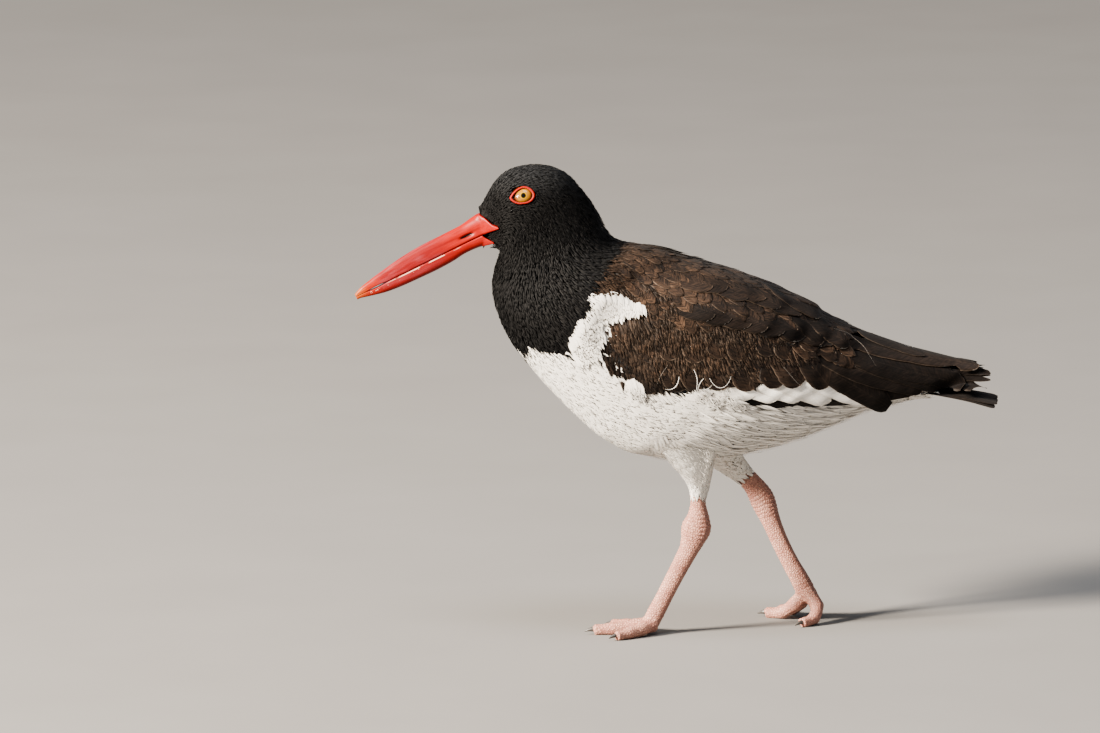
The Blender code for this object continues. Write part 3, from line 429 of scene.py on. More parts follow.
def marks(points):
    """How white and how brown the coat is at each point, and a zero for the fringe."""
    x, seen = points[..., 0], seen_height(points)
    black = inside(BLACK_AREA, x, seen)
    brown = inside(BROWN_AREA, x, seen) & ~black & ~inside(SHOULDER_PATCH, x, seen)
    white = ~black & ~brown
    return np.stack([white * 1.0, brown * 1.0, 0.0 * x], -1)


def at_bill(form, chin):
    """The places of the face that the bill and its gape cover."""
    x, z = form.place[..., 0], form.place[..., 2]
    return (inside(GAPE_AREA, x, z) | inside(CHIN_AREA, x, z)
            | ((x < BILL_ROOT[0]) & (z < BILL_ROOT[1])) | ((x < chin[0]) & (z < chin[1])))


def round_eye(form, middle, half_length, half_height):
    """How far places lie from the eye, as shares of an oval round it."""
    return np.hypot((form.place[..., 0] - middle[0]) / half_length,
                    (form.place[..., 2] - middle[1]) / half_height)


# The whites are warm cream: partly the feathers' own colour and partly a painted tint of the warm key light.
WHITES = (0.95, 0.888, 0.79, 1), (0.965, 0.91, 0.825, 1)
# The black is painted lighter from CROWN_FROM up to CROWN_TO: a painted sheen for the sky's reflection off
# the crown.
CROWN_PAINTED_SHEEN, CROWN_FROM, CROWN_TO = (0.0125, 0.0125, 0.0128, 1), 0.249, 0.268  # heights in metres
FRINGE_COLOUR, SHAFT_COLOUR = (0.12, 0.085, 0.06, 1), (0.05, 0.035, 0.025, 1)
BARB_SLANT = 0.9


def plumage(name, roughness, fringe, barb, contrast, darks, browns):
    """The look of feathers: marks tell black, brown and white, and barbs run out from each shaft."""
    finish = Finish(name, Roughness=roughness, Specular_IOR_Level=0.055, Sheen_Weight=0.01,
                    Sheen_Roughness=0.5, Subsurface_Scale=0.0025, Subsurface_Radius=(1.0, 0.9, 0.8))
    side, down, number = finish.layer("vane")
    out_share, down_share, _ = finish.layer("zone")
    is_white, is_brown, is_fringed = finish.layer("mark")
    where = finish.where()
    sideways = abs(side)
    barbs = finish.speckle(finish.vector((down + sideways * BARB_SLANT) * barb, side * 0.22, number * 53.0),
                           1.0, 3.0, 0.6)
    strands = finish.speckle(finish.vector(side * 1.5, down * 0.13, number * 91.0), 1.0)
    patches = finish.speckle(where, 55.0, 3.0)
    own = finish.node("ShaderNodeTexWhiteNoise", {"W": number * 997.0}, noise_dimensions="1D")

    # The black takes a painted sheen on the crown, lighter from CROWN_FROM upward.
    black = where.parts()[2].between(CROWN_FROM, CROWN_TO).blend(patches.blend(*darks), CROWN_PAINTED_SHEEN)
    brown = (patches * 0.45 + barbs * 0.55).between(0.36, 0.66).blend(*browns)
    to_edge, to_tip = (abs(at) * (1.0 - share) / share.step("MAXIMUM", 0.02)
                       for at, share in ((side, out_share), (down, down_share)))
    rim = to_edge.step("MINIMUM", to_tip).between(0.2, 0.8, 1.0, 0.0) * (is_fringed * fringe)
    shaft = sideways.between(0.12, 0.3, 1.0, 0.0) * is_fringed * 0.3
    colour = shaft.blend(rim.blend(is_brown.blend(black, brown), FRINGE_COLOUR), SHAFT_COLOUR)
    colour = is_white.blend(colour, patches.blend(*WHITES))

    # Barbs, strands and each vane's own tone vary the colour. Each vane is also painted darker towards its
    # root: painted shade where the vanes over it cover it.
    light = (barbs.between(0.3, 0.7, 1 - contrast, 1 + contrast)
             * strands.between(0.3, 0.7, 1 - 0.6 * contrast, 1 + 0.6 * contrast)
             * own.between(0.0, 1.0, 1 - contrast, 1 + contrast)
             * down_share.between(0.0, 0.55, 0.72, 1.0)).step("MINIMUM", 1.9)
    calm = is_white * 0.75
    finish.feed(Base_Color=colour.lit(light * (1.0 - calm) + calm), Subsurface_Weight=is_white * 0.35,
                Normal=finish.bump(barbs + strands, 0.00025, 0.45 - is_white * 0.35))
    return finish.material


def build_mesh(name, points, quads, material, layers, uv, soft=None):
    """A mesh object from points in millimetres, quads, point attributes and a bake map.

    Soft gives the body's own outward direction at each point, so that light falls over a coat of
    feathers as it does over the body, and the length of each tells by how much.
    """
    mesh = bpy.data.meshes.new(name)
    mesh.vertices.add(len(points))
    mesh.vertices.foreach_set("co", (points * MM).astype(np.float32).ravel())
    mesh.loops.add(quads.size)
    mesh.loops.foreach_set("vertex_index", quads.ravel().astype(np.int32))
    mesh.polygons.add(len(quads))
    mesh.polygons.foreach_set("loop_start", np.arange(0, quads.size, 4, dtype=np.int32))
    mesh.update(calc_edges=True)
    for label, values in layers.items():
        layer = mesh.attributes.new(label, "FLOAT_VECTOR", "POINT")
        layer.data.foreach_set("vector", values.astype(np.float32).ravel())
    if uv is not None:
        spots = uv if len(uv) == quads.size else uv[quads.ravel()]
        mesh.uv_layers.new(name="OFBake").data.foreach_set("uv", spots.astype(np.float32).ravel())
    mesh.shade_smooth()
    if soft is not None:
        own = np.empty(len(points) * 3, np.float32)
        mesh.vertex_normals.foreach_get("vector", own)
        share = np.linalg.norm(soft, axis=-1, keepdims=True)
        mesh.normals_split_custom_set_from_vertices(unit(own.reshape(-1, 3) * (1 - share) + soft))
    mesh.materials.append(material)
    return put(name, mesh)


END_SIZES = (0.02, 0.4, 0.75)  # rings past each end of a skin, as shares of the last one


def drawn_in(ring, sizes):
    """Smaller copies of a ring round its own middle."""
    middle = ring.mean(0)
    return np.array([middle + (ring - middle) * size for size in sizes])


def closed_rings(place):
    """Points and quads of a closed skin over a grid of rings, its two ends drawn in to a line."""
    turns = place.shape[1]
    full = np.concatenate([drawn_in(place[0], END_SIZES), place, drawn_in(place[-1], END_SIZES[::-1])])
    grid = np.arange(full.shape[0] * turns).reshape(full.shape[0], turns)
    after = np.roll(grid, -1, 1)
    sides = np.stack([grid[:-1], after[:-1], after[1:], grid[1:]], -1).reshape(-1, 4)
    half = turns // 2
    caps = []
    for ring, turned in ((grid[0], False), (grid[-1], True)):
        for k in range(half - 1):
            quad = [ring[k], ring[(turns - k) % turns], ring[turns - k - 1], ring[k + 1]]
            caps.append(quad[::-1] if turned else quad)
    return full.reshape(-1, 3), np.concatenate([sides, np.array(caps)])


EYE_HOLLOW, HOLLOW_DEPTH = ((-87.6, 254.0), 8.0, 6.0), 4.5  # middle, half length, half height, depth
CHIN_HOLLOW = (-104.5, 224.5)
BILL_HOLLOW = 3.4  # how much deeper the skin lies under the bill
DARK_LINING, LINING_FROM = (0, 0.3, 0), 12  # the skin's mark under the wings, and where it starts
RUMP_LINING, RUMP_FROM = (0, 0.1, 0), (90, 142)
UV_LENGTH = 0.99

coat_finish = plumage("body_plumage", 0.6, 0.0, 2.2, 0.25,
                      ((0.0017, 0.0016, 0.0016, 1), (0.0046, 0.0040, 0.0037, 1)),
                      ((0.010, 0.0056, 0.0034, 1), (0.042, 0.024, 0.014, 1)))
ends = int(ring_at(SKIN_END)) + 1
depth = smooth(SKIN_DEPTH, station_of[:ends])[:, :1]
depth = depth + HOLLOW_DEPTH * np.clip((1.1 - round_eye(bare, *EYE_HOLLOW)[:ends]) / 0.35, 0, 1)
depth = depth + BILL_HOLLOW * soften(spread_max(at_bill(bare, CHIN_HOLLOW)[:ends] * 1.0, 1), 2)
skin_points, skin_quads = closed_rings(bare.place[:ends] - bare.out[:ends] * depth[..., None])
rows = len(skin_points) // TURNS
spots = np.stack([np.repeat(np.arange(rows) / rows, TURNS), np.tile(np.arange(TURNS) / TURNS, rows)], -1)
corner = spots[skin_quads]
wrapped = (corner[..., 1].max(1) - corner[..., 1].min(1)) > 0.5
corner[..., 1] = np.where(wrapped[:, None] & (corner[..., 1] < 0.5), corner[..., 1] + 1.0, corner[..., 1])
corner[..., 1] *= UV_LENGTH
skin_mark = marks(skin_points)
under = inside(WING_AREA, skin_points[:, 0], seen_height(skin_points))
skin_mark[under & (np.abs(skin_points[:, 1]) > LINING_FROM)] = DARK_LINING
skin_mark[(skin_points[:, 0] > RUMP_FROM[0]) & (skin_points[:, 2] > RUMP_FROM[1])] = RUMP_LINING


def bare_layers(points, mark):
    """What the coat's finish reads on skin that has no vanes of its own."""
    # The skin reads as a place part way along a vane, so it takes a little of the painted shade at the roots.
    return {"vane": points * 0.4, "zone": points * 0 + np.array([0, 0.4, 0]), "mark": points * 0 + mark}


skin = build_mesh("skin", skin_points, skin_quads, coat_finish, bare_layers(skin_points, skin_mark),
                  corner.reshape(-1, 2))
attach(skin, "root")
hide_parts("head", "neck", "torso", "thigh_left", "thigh_right")


# Contour feathers: small closed vanes, each rooted in the skin and laid along the body towards the
# tail. They are shortest round the bill and longest on the flanks and under the tail.
def vane_faces(rows, columns):
    """Quads of one vane: a grid over it and a grid under it that meet along the rim."""
    top = np.arange(rows * columns).reshape(rows, columns)
    under = top.copy()
    under[1:-1, 1:-1] = rows * columns + np.arange((rows - 2) * (columns - 2)).reshape(rows - 2, -1)

    def quads(grid):
        return np.stack([grid[:-1, :-1], grid[1:, :-1], grid[1:, 1:], grid[:-1, 1:]], -1).reshape(-1, 4)

    return np.concatenate([quads(top), quads(under)[:, ::-1]])


RIM_MARGIN = 0.04  # how near its ends a vane keeps some thickness
WHITE_SOFTNESS, DARK_SOFTNESS = 0.9, 0.5  # how far light follows the body instead of each vane
BAKE_PATCH = 0.0025  # size of a small plume's place in the bake map


def vane_depth(thick, t, u):
    """How thick a vane is at each of its places: nothing at the rim, most along the middle."""
    return (thick * (1 - u**2)[None, None, :, None]
            * np.sin(math.pi * np.clip(t, RIM_MARGIN, 1 - RIM_MARGIN))[None, :, None, None])


def bake_cells(count, t, u):
    """A bake map that gives each of count vanes a cell of its own."""
    wide = math.ceil(math.sqrt(count))
    nth = np.arange(count)
    return np.stack([(nth % wide)[:, None, None] + 0.5 + u * 0.46 + 0 * t[None, :, None],
                     (nth // wide)[:, None, None] + 0.04 + t[None, :, None] * 0.92 + 0 * u], -1) / wide


def close_vanes(top, down, side_mm, length, number, t, u, mark, uv, outward=None):
    """Vanes given as grids of points over them and a vector down through them, as one block."""
    count, rows, columns = top.shape[:3]
    inner = np.s_[:, 1:-1, 1:-1]
    outward = np.zeros_like(top) if outward is None else outward

    def both(over, under):
        return np.concatenate([over.reshape(count, -1, 3), under[inner].reshape(count, -1, 3)], 1)

    def layer(*values):
        grid = np.stack([np.broadcast_to(value, (count, rows, columns)) for value in values], -1)
        return np.concatenate([grid.reshape(count, -1, len(values)),
                               grid[inner].reshape(count, -1, len(values))], 1)

    points = both(top, top + down)
    number, t = number[:, None, None], t[None, :, None]
    softness = np.where(mark[:, :1] > 0.5, WHITE_SOFTNESS, DARK_SOFTNESS)
    return (points, vane_faces(rows, columns), layer(side_mm, t * length[:, None, None], number),
            layer(np.abs(u), t, number), np.broadcast_to(mark[:, None], points.shape),
            layer(uv[..., 0], uv[..., 1]), both(outward, -outward) * softness[:, None])


def sew(name, blocks, material):
    """One mesh object from blocks of vanes."""
    first, quads, joined = 0, [], []
    for place, faces, *values in blocks:
        count, each = place.shape[:2]
        quads.append((faces[None] + (first + np.arange(count) * each)[:, None, None]).reshape(-1, 4))
        joined.append([value.reshape(-1, value.shape[-1]) for value in (place, *values)])
        first += count * each
    points, vane, zone, mark, uv, soft = (np.concatenate(values) for values in zip(*joined))
    return build_mesh(name, points, np.concatenate(quads), material,
                      {"vane": vane, "zone": zone, "mark": mark}, uv, soft)


def lay(form, path_s, path_a, half_width, heights, outline, columns, thick, number, mark,
        roll=0.0, camber=0.1, ragged=0.0, rise=0.8, cells=False, t=None):
    """Vanes over a form along paths of grid places, one row of columns at each step.

    heights are those of root and tip over the form, roll lifts one edge over the other, camber
    arches the vane, and rise tells how soon it climbs from the root's height to the tip's.
    """
    count, rows = path_s.shape
    t = np.linspace(0, 1, rows) if t is None else t
    u = np.linspace(-1, 1, columns)
    middle = form.read(form.place, path_s, path_a)
    run = unit(np.gradient(middle, axis=1))
    across = unit(np.cross(form.read(form.out, path_s, path_a), run))
    length = np.linalg.norm(np.diff(middle, axis=1), axis=-1).sum(1)
    share = np.interp(t, *np.array(outline).T)
    reach = np.broadcast_to(half_width[:, None, None] * share[None, :, None] * u, (count, rows, columns))
    if ragged:
        rough = np.random.default_rng(int(number[0] * 1e6) + count)
        edge = rough.uniform(1 - ragged, 1, (count, rows, columns))
        reach = reach * np.where(np.abs(u) > 0.99, edge, 1.0)
    ds, da = form.steer(path_s[..., None], path_a[..., None], across[:, :, None] * reach[..., None])
    s, a = path_s[..., None] + ds, path_a[..., None] + da
    normal = form.read(form.out, s, a)
    root, tip = heights
    lift = root[:, None, None] + (tip - root)[:, None, None] * (t**rise)[None, :, None]
    lift = lift + np.asarray(roll)[..., None, None] * u + camber * (1 - u**2) * np.sin(math.pi * t)[:, None]
    top = form.read(form.place, s, a) + normal * lift[..., None]
    if cells:
        uv = bake_cells(count, t, u)
    else:
        spot = np.stack([path_s[:, 0] / form.rings, (path_a[:, 0] % form.turns) / form.turns], -1)
        spot = (spot * 0.98 + 0.01)[:, None, None]
        uv = np.stack([spot[..., 0] + u * BAKE_PATCH / 2 + 0 * t[None, :, None],
                       spot[..., 1] + t[None, :, None] * BAKE_PATCH + 0 * u], -1)
    return close_vanes(top, -normal * vane_depth(thick, t, u), reach, length, number, t, u, mark, uv, normal)


MOST_RINGS, MOST_TURNS = 30, 6  # the longest step of a path over a form


def comb(form, s, a, length, skew, rows):
    """Paths from roots along the lie of the coat, turned by skew, as grid places."""
    path_s, path_a = [s], [a]
    for _ in range(rows - 1):
        flow = unit(form.read(form.along, s, a))
        across = unit(np.cross(form.read(form.out, s, a), flow))
        way = flow * np.cos(skew)[:, None] + across * np.sin(skew)[:, None]
        ds, da = form.steer(s, a, way * (length / (rows - 1))[:, None])
        s = np.clip(s + np.clip(ds, -MOST_RINGS, MOST_RINGS), 0, form.rings - 1.01)
        a = a + np.clip(da, -MOST_TURNS, MOST_TURNS)
        path_s.append(s)
        path_a.append(a)
    return np.stack(path_s, 1), np.stack(path_a, 1)


EVEN_STEPS = (0.7548776662, 0.5698402910)  # steps both ways that fill a square evenly


def strew(form, count, weight, shift):
    """Roots spread evenly by area over a form, thicker where weight is more, in a fixed order."""
    size = np.linalg.norm(np.cross(form.along, form.around), axis=-1) * weight
    size = (size[:-1] + size[1:]) / 2
    ring_share = np.concatenate([[0], np.cumsum(size.sum(1))])
    nth = np.arange(count) + shift
    q1, q2 = (EVEN_STEPS[0] * nth) % 1, (EVEN_STEPS[1] * nth) % 1
    s = np.interp(q1 * ring_share[-1], ring_share, np.arange(len(ring_share)))
    within = np.cumsum(size, 1)[np.minimum(s.astype(int), len(size) - 1)]
    within = np.concatenate([np.zeros((count, 1)), within / within[:, -1:]], 1)
    cell = (within[:, 1:-1] < q2[:, None]).sum(1)
    low, high = within[np.arange(count), cell], within[np.arange(count), cell + 1]
    return s, cell + (q2 - low) / np.maximum(high - low, 1e-9)


PLUME_SIZES = (  # by station: length, half width, and how high tips and roots lie over the form
    (0, 2.2, 0.30, 0.05, -0.4), (1, 3.0, 0.33, 0.08, -0.7), (2, 3.8, 0.36, 0.12, -0.9),
    (3, 4.6, 0.40, 0.15, -1.2), (4.5, 6.5, 0.52, 0.2, -1.6), (6, 9.0, 0.70, 0.22, -2.0),
    (7, 12.0, 0.85, 0.25, -2.3), (9, 14.0, 0.90, 0.3, -2.4), (11, 14.5, 1.0, 0.3, -2.1),
    (12, 12.0, 1.1, 0.2, -1.5), (14, 8.0, 1.2, 0.0, -1.0),
)
PLUME_OUTLINE = ((0, 0.45), (0.35, 1.0), (0.75, 0.8), (1.0, 0.12))
SKEW, LENGTH_SCATTER, LIFT_SCATTER = 0.17, 0.25, 0.16
WHITE_HEIGHTS = (-0.2, 0.12)  # white plumes lie flatter, so that no shadow falls between them
WHITE_THICKNESS, DARK_THICKNESS = 0.07, 0.12
WHITE_CALM = 0.75  # how much less white plumes are scattered than dark ones
EDGE_SCATTER = 0.8  # how far a plume may take its colour from beyond its root


def coat(name, form, weight, count, shift, rows=4, white=False, stretch=1.0, lift=0.0,
         skew=((0, 0), (1, 0)), slim=1.0):
    """A piece of the coat over the part of a form where weight is set."""
    draw = np.random.default_rng(shift)
    s, a = strew(form, count, weight, shift)
    root = form.read(form.place, s, a)
    length, half_width, tip, sunk = smooth(PLUME_SIZES, np.interp(s, np.arange(RINGS), station_of)).T
    length = length * stretch * draw.uniform(1 - LENGTH_SCATTER, 1 + LENGTH_SCATTER, count)
    mark = np.tile((1.0, 0, 0), (count, 1)) if white else marks(
        root + draw.normal(0, EDGE_SCATTER, root.shape))
    is_white = mark[:, 0] > 0.5
    calm = 1 - WHITE_CALM * mark[:, 0]
    turned = draw.normal(0, SKEW, count) * (0.4 + 0.6 * calm)
    turned = turned + np.interp(root[:, 0], *np.array(skew, float).T) * np.sign(root[:, 1])
    path_s, path_a = comb(form, s, a, length, turned, rows)
    half_width = half_width * (1.9 - calm) * slim * draw.uniform(0.8, 1.2, count)
    tip = np.where(is_white, WHITE_HEIGHTS[1], tip) + lift
    tip = tip + calm * draw.uniform(-LIFT_SCATTER, LIFT_SCATTER, count)
    thick = np.where(is_white, WHITE_THICKNESS, DARK_THICKNESS)[:, None, None, None]
    block = lay(form, path_s, path_a, half_width, (np.where(is_white, WHITE_HEIGHTS[0], sunk), tip),
                PLUME_OUTLINE, 3, thick, draw.uniform(0, 1, count), mark,
                roll=calm * draw.normal(0, 0.08, count), camber=0.03)
    piece = sew(name, [block], coat_finish)
    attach(piece, "root")
    return piece


def coat_weight(first, last, blocked=under_wing):
    """Ones on the rings between two stations, apart from blocked places."""
    weight = np.zeros((RINGS, TURNS))
    weight[int(ring_at(first)):int(ring_at(last)) + 1] = 1.0
    return np.where(blocked, 0.0, weight)


MANTLE_AREA = ((-36, 232), (-34, 214), (-26, 199), (-8, 196), (20, 200), (50, 190), (84, 172), (84, 200),
               (40, 222), (-20, 236))
COVER_AREA = ((-56, 182), (-47.5, 178), (-44.3, 170.5), (-34.2, 163.4), (-24, 154.4), (-18.4, 147.6),
              (-10, 144.6), (11, 146.2), (28, 144.5), (28, 128), (-40, 135), (-62, 160))
SLOT_AREA = ((22, 144), (31, 134.5), (44, 131), (60, 130), (84, 131), (92, 136), (92, 142))
EYE_OPENING, CHIN_OPENING = ((-88.6, 254.0), 8.4, 5.7), (-106.0, 223.5)
PATCH_EDGE, PATCH_FOOT = (3.5, 5.0), 178  # the patch narrows by so much above its foot
MANTLE_OVERLAP = 6  # how far the breast's coat runs on under the mantle
RUMP_START, RUMP_SLOPE = 96, 0.1

side_x, side_z = dressed.place[..., 0], dressed.place[..., 2]
seen_z = seen_height(dressed.place)
on_face = under_wing | (round_eye(dressed, *EYE_OPENING) < 1) | at_bill(dressed, CHIN_OPENING)
on_patch = (inside(SHOULDER_PATCH, side_x, seen_z)
            & (inside(SHOULDER_PATCH, side_x + PATCH_EDGE[0], seen_z - PATCH_EDGE[1])
               | (seen_z < PATCH_FOOT)))
on_mantle = under_wing | inside(MANTLE_AREA, side_x - MANTLE_OVERLAP, side_z)
in_slot = inside(SLOT_AREA, side_x, side_z)
on_rump = (bare.out[..., 2] > RUMP_SLOPE) & (bare.place[..., 0] > RUMP_START)
on_rump = on_rump | inside(SLOT_AREA, bare.place[..., 0], bare.place[..., 2])
on_cover = under_wing & inside(COVER_AREA, side_x, side_z)

piece = coat("coat_head", dressed, coat_weight(0.0, 4.0, on_face), 8500, 11, rows=3)
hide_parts("head")
piece = coat("coat_neck", dressed, coat_weight(4.0, 6.2), 7000, 23)
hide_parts("neck")
coat("coat_breast", dressed, coat_weight(6.2, 8.0, on_mantle), 7000, 37)
coat("coat_belly", dressed, coat_weight(8.0, 9.8, on_mantle | in_slot), 6800, 41)
coat("coat_vent", bare, coat_weight(9.8, 11.6, on_rump), 4000, 53)

# The white marks at the bend of the wing: a patch of short feathers that runs over the shoulder, and
# the flank feathers that lie over the wing's lower front edge, so that the folded wing sinks into them.
coat("shoulder_patch", dressed, on_patch * 1.0, 1500, 61, white=True, lift=1.1,
     skew=((-50, 0.35), (-38, 0.75)), stretch=0.8)
coat("flank_cover", dressed, on_cover * 1.0, 2200, 79, white=True, lift=1.1,
     skew=((-46, 0.8), (-24, 0.6), (-8, 0.15), (30, 0.05)), slim=0.8, stretch=0.8)

# The apron: belly feathers that hang over the tops of the thighs. They are finer than their
# neighbours and are combed over the drumstick, so that no edge shows where it starts.
APRON_MIDDLE, APRON_HALF_LENGTH, APRON_HEIGHTS, APRON_FROM = (5, 17), 17, (101, 121), 9

apron = np.abs(side_x - np.where(bare.place[..., 1] < 0, *APRON_MIDDLE)) < APRON_HALF_LENGTH
apron = apron & (np.abs(bare.place[..., 1]) > APRON_FROM)
apron = apron & (bare.place[..., 2] > APRON_HEIGHTS[0]) & (bare.place[..., 2] < APRON_HEIGHTS[1])
coat("thigh_apron", bare, apron * 1.0, 900, 83, rows=6, white=True, lift=0.5,
     skew=((-12, 1.0), (10, 0.7), (34, 0.5)), slim=0.7)

# Loose plumes: the long narrow ends of the belly's feathers, which the wind lifts off the coat.
# Most lie close under the belly, and a few fine wisps stand off it.
loose = coat_weight(8.3, 11.2, False) * (bare.out[..., 2] < 0.0)
for name, count, shift, lift in (("loose_plumes", 1500, 71, 0.45), ("loose_wisps", 420, 73, 2.0)):
    coat(name, bare, loose, count, shift, rows=6, white=True, stretch=1.1, lift=lift,
         skew=((0, 0.12), (1, 0.12)), slim=0.4)

# Thighs: short white feathers over the drumstick that end in a loose cuff round the bare shank.
# A closed skin of the same shape lies under them and fills the gaps between them.
LEFT, RIGHT = -1, 1  # the sign of Y on each side of the bird
SIDES = ((LEFT, "left"), (RIGHT, "right"))
THIGH_ROWS = {  # x, y, z of the middle, half depth fore and aft, half width
    LEFT: ((6.0, -21.0, 128.0, 19.0, 6.0), (6.8, -21.6, 116.0, 18.0, 6.6), (8.8, -22.4, 106.0, 14.4, 8.4),
           (11.0, -23.0, 98.0, 10.4, 8.6), (12.6, -22.0, 89.0, 6.6, 6.2), (12.6, -21.3, 83.0, 5.0, 4.6),
           (12.2, -20.8, 78.0, 4.4, 3.9)),
    RIGHT: ((13.0, 24.0, 128.0, 15.0, 11.0), (19.0, 24.0, 111.0, 15.4, 11.8), (28.0, 24.0, 96.5, 9.6, 8.8),
            (36.0, 24.2, 88.0, 6.6, 6.4), (41.0, 24.3, 83.0, 5.6, 5.0), (44.0, 24.35, 79.5, 5.2, 4.6)),
}
THIGH_RINGS, THIGH_TURNS, THIGH_PLUMES = 40, 48, 1900
THIGH_CUFFS = {LEFT: 28, RIGHT: 24}  # the ring where a thigh's feathers end
CUFF_OVERLAP, SHIN_DEPTH, THIGH_DEPTH = 8, 1.0, 0.9
WHITE_MARK = np.array([1.0, 0, 0])


def limb_rings(rows):
    """Upright slices across a leg: deep fore and aft, narrow from side to side."""
    row = smooth(numbered(rows), np.linspace(0, len(rows) - 1, THIGH_RINGS))
    run = unit(np.gradient(row[:, :3], axis=0))
    fore = unit(np.cross(np.array([0.0, 1.0, 0.0]), run))
    side = np.cross(run, fore)
    turn = 2 * math.pi * np.arange(THIGH_TURNS) / THIGH_TURNS
    return (row[:, None, :3] + fore[:, None] * (row[:, 3, None] * np.cos(turn))[..., None]
            + side[:, None] * (row[:, 4, None] * np.sin(turn))[..., None])


shins = {}  # the bare skin inside each cuff, which the leg's own skin takes in
for side, label in SIDES:
    form = Form(limb_rings(THIGH_ROWS[side]))
    cuff = THIGH_CUFFS[side]
    inner = cuff - CUFF_OVERLAP
    shins[side] = closed_rings(form.place[inner:] - form.out[inner:] * SHIN_DEPTH)
    points, quads = closed_rings(form.place[:cuff] - form.out[:cuff] * THIGH_DEPTH)
    thigh = build_mesh(f"thigh_skin_{label}", points, quads, coat_finish,
                       bare_layers(points, WHITE_MARK), None)
    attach(thigh, "root")
    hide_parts(f"thigh_{label}")
    draw = np.random.default_rng(70 + side)
    feathered = np.repeat((np.arange(THIGH_RINGS) < cuff)[:, None] * 1.0, THIGH_TURNS, 1)
    s, a = strew(form, THIGH_PLUMES, feathered, 5)
    length = np.interp(s, (0, cuff), (15.0, 7.0)) * draw.uniform(0.5, 1.5, THIGH_PLUMES)
    back = -form.read(form.out, s, a)[:, 1] * np.interp(s, (8, 26), (0.6, 0.1))
    path_s, path_a = comb(form, s, a, length, back + draw.normal(0, 0.08, THIGH_PLUMES), 5)
    half_width = draw.uniform(0.8, 1.5, THIGH_PLUMES) * np.interp(s, (10, 30), (1.0, 0.55))
    block = lay(form, path_s, path_a, half_width,
                (np.full(THIGH_PLUMES, -0.4), draw.uniform(0.05, 0.3, THIGH_PLUMES)), PLUME_OUTLINE, 3, 0.08,
                draw.uniform(0, 1, THIGH_PLUMES), np.tile(WHITE_MARK, (THIGH_PLUMES, 1)), camber=0.15)
    share = np.linalg.norm(block[-1], axis=-1, keepdims=True)
    dip = np.interp(s, (9, 24), (1.3, 0.0))[:, None, None] * np.array([0, 0, -1.0])
    soft = unit(block[-1] / share + dip) * share  # the top faces down like the belly that it joins
    piece = sew(f"coat_thigh_{label}", [(*block[:-1], soft)], coat_finish)
    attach(piece, "root")
    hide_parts(f"thigh_{label}")

# Wings: flight feathers and their coverts in tiers, each a stiff vane with a shaft, the inner and
# upper feathers lying over the outer and lower ones. Small scaly coverts hide the roots of them all.
ROUND_TIP = ((0, 0.5), (0.35, 0.9), (0.7, 1.0), (0.82, 0.96), (0.89, 0.84), (0.94, 0.68), (0.975, 0.46),
             (0.992, 0.27), (1, 0.08))
LONG_TIP = ((0, 0.45), (0.4, 0.95), (0.65, 1.0), (0.82, 0.88), (0.9, 0.72), (0.95, 0.52), (0.98, 0.34),
            (0.993, 0.2), (1, 0.06))
POINTED_TIP = ((0, 0.6), (0.4, 1.0), (0.75, 0.8), (0.92, 0.48), (0.98, 0.25), (1, 0.1))
QUILL_ROWS, QUILL_COLUMNS = 28, 9
QUILL_STEPS = 1 - (1 - np.linspace(0, 1, QUILL_ROWS)) ** 1.5  # closer together at the tip
WING_TIERS = (  # tips in side view, first and last root, half width, heights, outline, roll, mark
    ("primaries", ((148, 145.6), (158, 146.6), (168, 146.6), (176.4, 143.2), (179, 146.4), (179.2, 149.5),
                   (175.5, 153.0)),
     (104, 149), (112, 160), 4.4, (-1.6, -1.2), POINTED_TIP, 0.5, (0, 0.0, 0.1)),
    ("secondaries", ((80, 134.6), (92, 135.4), (106, 137.0), (123, 139), (139, 140.8)),
     (34, 141), (66, 142), 5.0, (-1.8, -1.3), POINTED_TIP, 0.5, (0, 0.05, 0.1)),
    ("white_coverts", ((30, 146.5), (44, 144), (58, 142.2), (72, 141.2), (88, 139.5), (109.5, 137.2)),
     (-4, 156), (62, 158), 7.0, (-1.4, -0.7), ROUND_TIP, 0.5, (1, 0, 0)),
    ("greater_coverts", ((-10.5, 146.6), (3.0, 147.6), (15.5, 147.8), (28.8, 148.4), (43.0, 149.3),
                         (58, 150), (71, 149.6), (85, 147)),
     (-22, 168), (66, 175.6), 9.0, (-1.2, 0.1), ROUND_TIP, 0.5, (0, 0.2, 0.4)),
    ("covert_lining", ((-3.5, 149.2), (9.5, 149.6), (22.5, 150), (36, 150.6)),
     (-16, 169), (26, 171), 8.4, (-1.5, -0.5), ROUND_TIP, 0.2, (0, 0.12, 0.1)),
    ("median_coverts", ((-26.5, 163.4), (-13.5, 163), (0, 163.2), (13, 164), (26, 164.6), (39, 165),
                        (52, 165.4), (65, 165.8), (78, 165)),
     (-33.3, 186.7), (70.4, 187.5), 8.0, (-1.3, 0.1), ROUND_TIP, 0.3, (0, 0.32, 0.45)),
    ("tertials", ((122, 132.5), (140, 142), (151, 143), (164, 144.5), (172, 154.2), (141, 159.5)),
     (66, 168), (80, 182), 8.6, (-1.2, 0.4), LONG_TIP, 0.6, (0, 0.08, 0.25)),
    ("scapulars", ((22, 189), (32, 187), (42, 184.5), (52, 182), (62, 179), (72, 176), (82, 173), (90, 171),
                   (98, 168.5)),
     (-14, 203), (60, 198), 8.5, (-1.2, 0.45), LONG_TIP, 0.45, (0, 0.08, 0.2)),
    ("upper_scapulars", ((20, 204), (30, 201.5), (40, 198.5), (50, 195), (60, 191.5), (70, 188), (80, 184.5)),
     (-12, 213), (42, 206), 8.0, (-0.9, 0.7), LONG_TIP, 0.4, (0, 0.24, 0.22)),
)
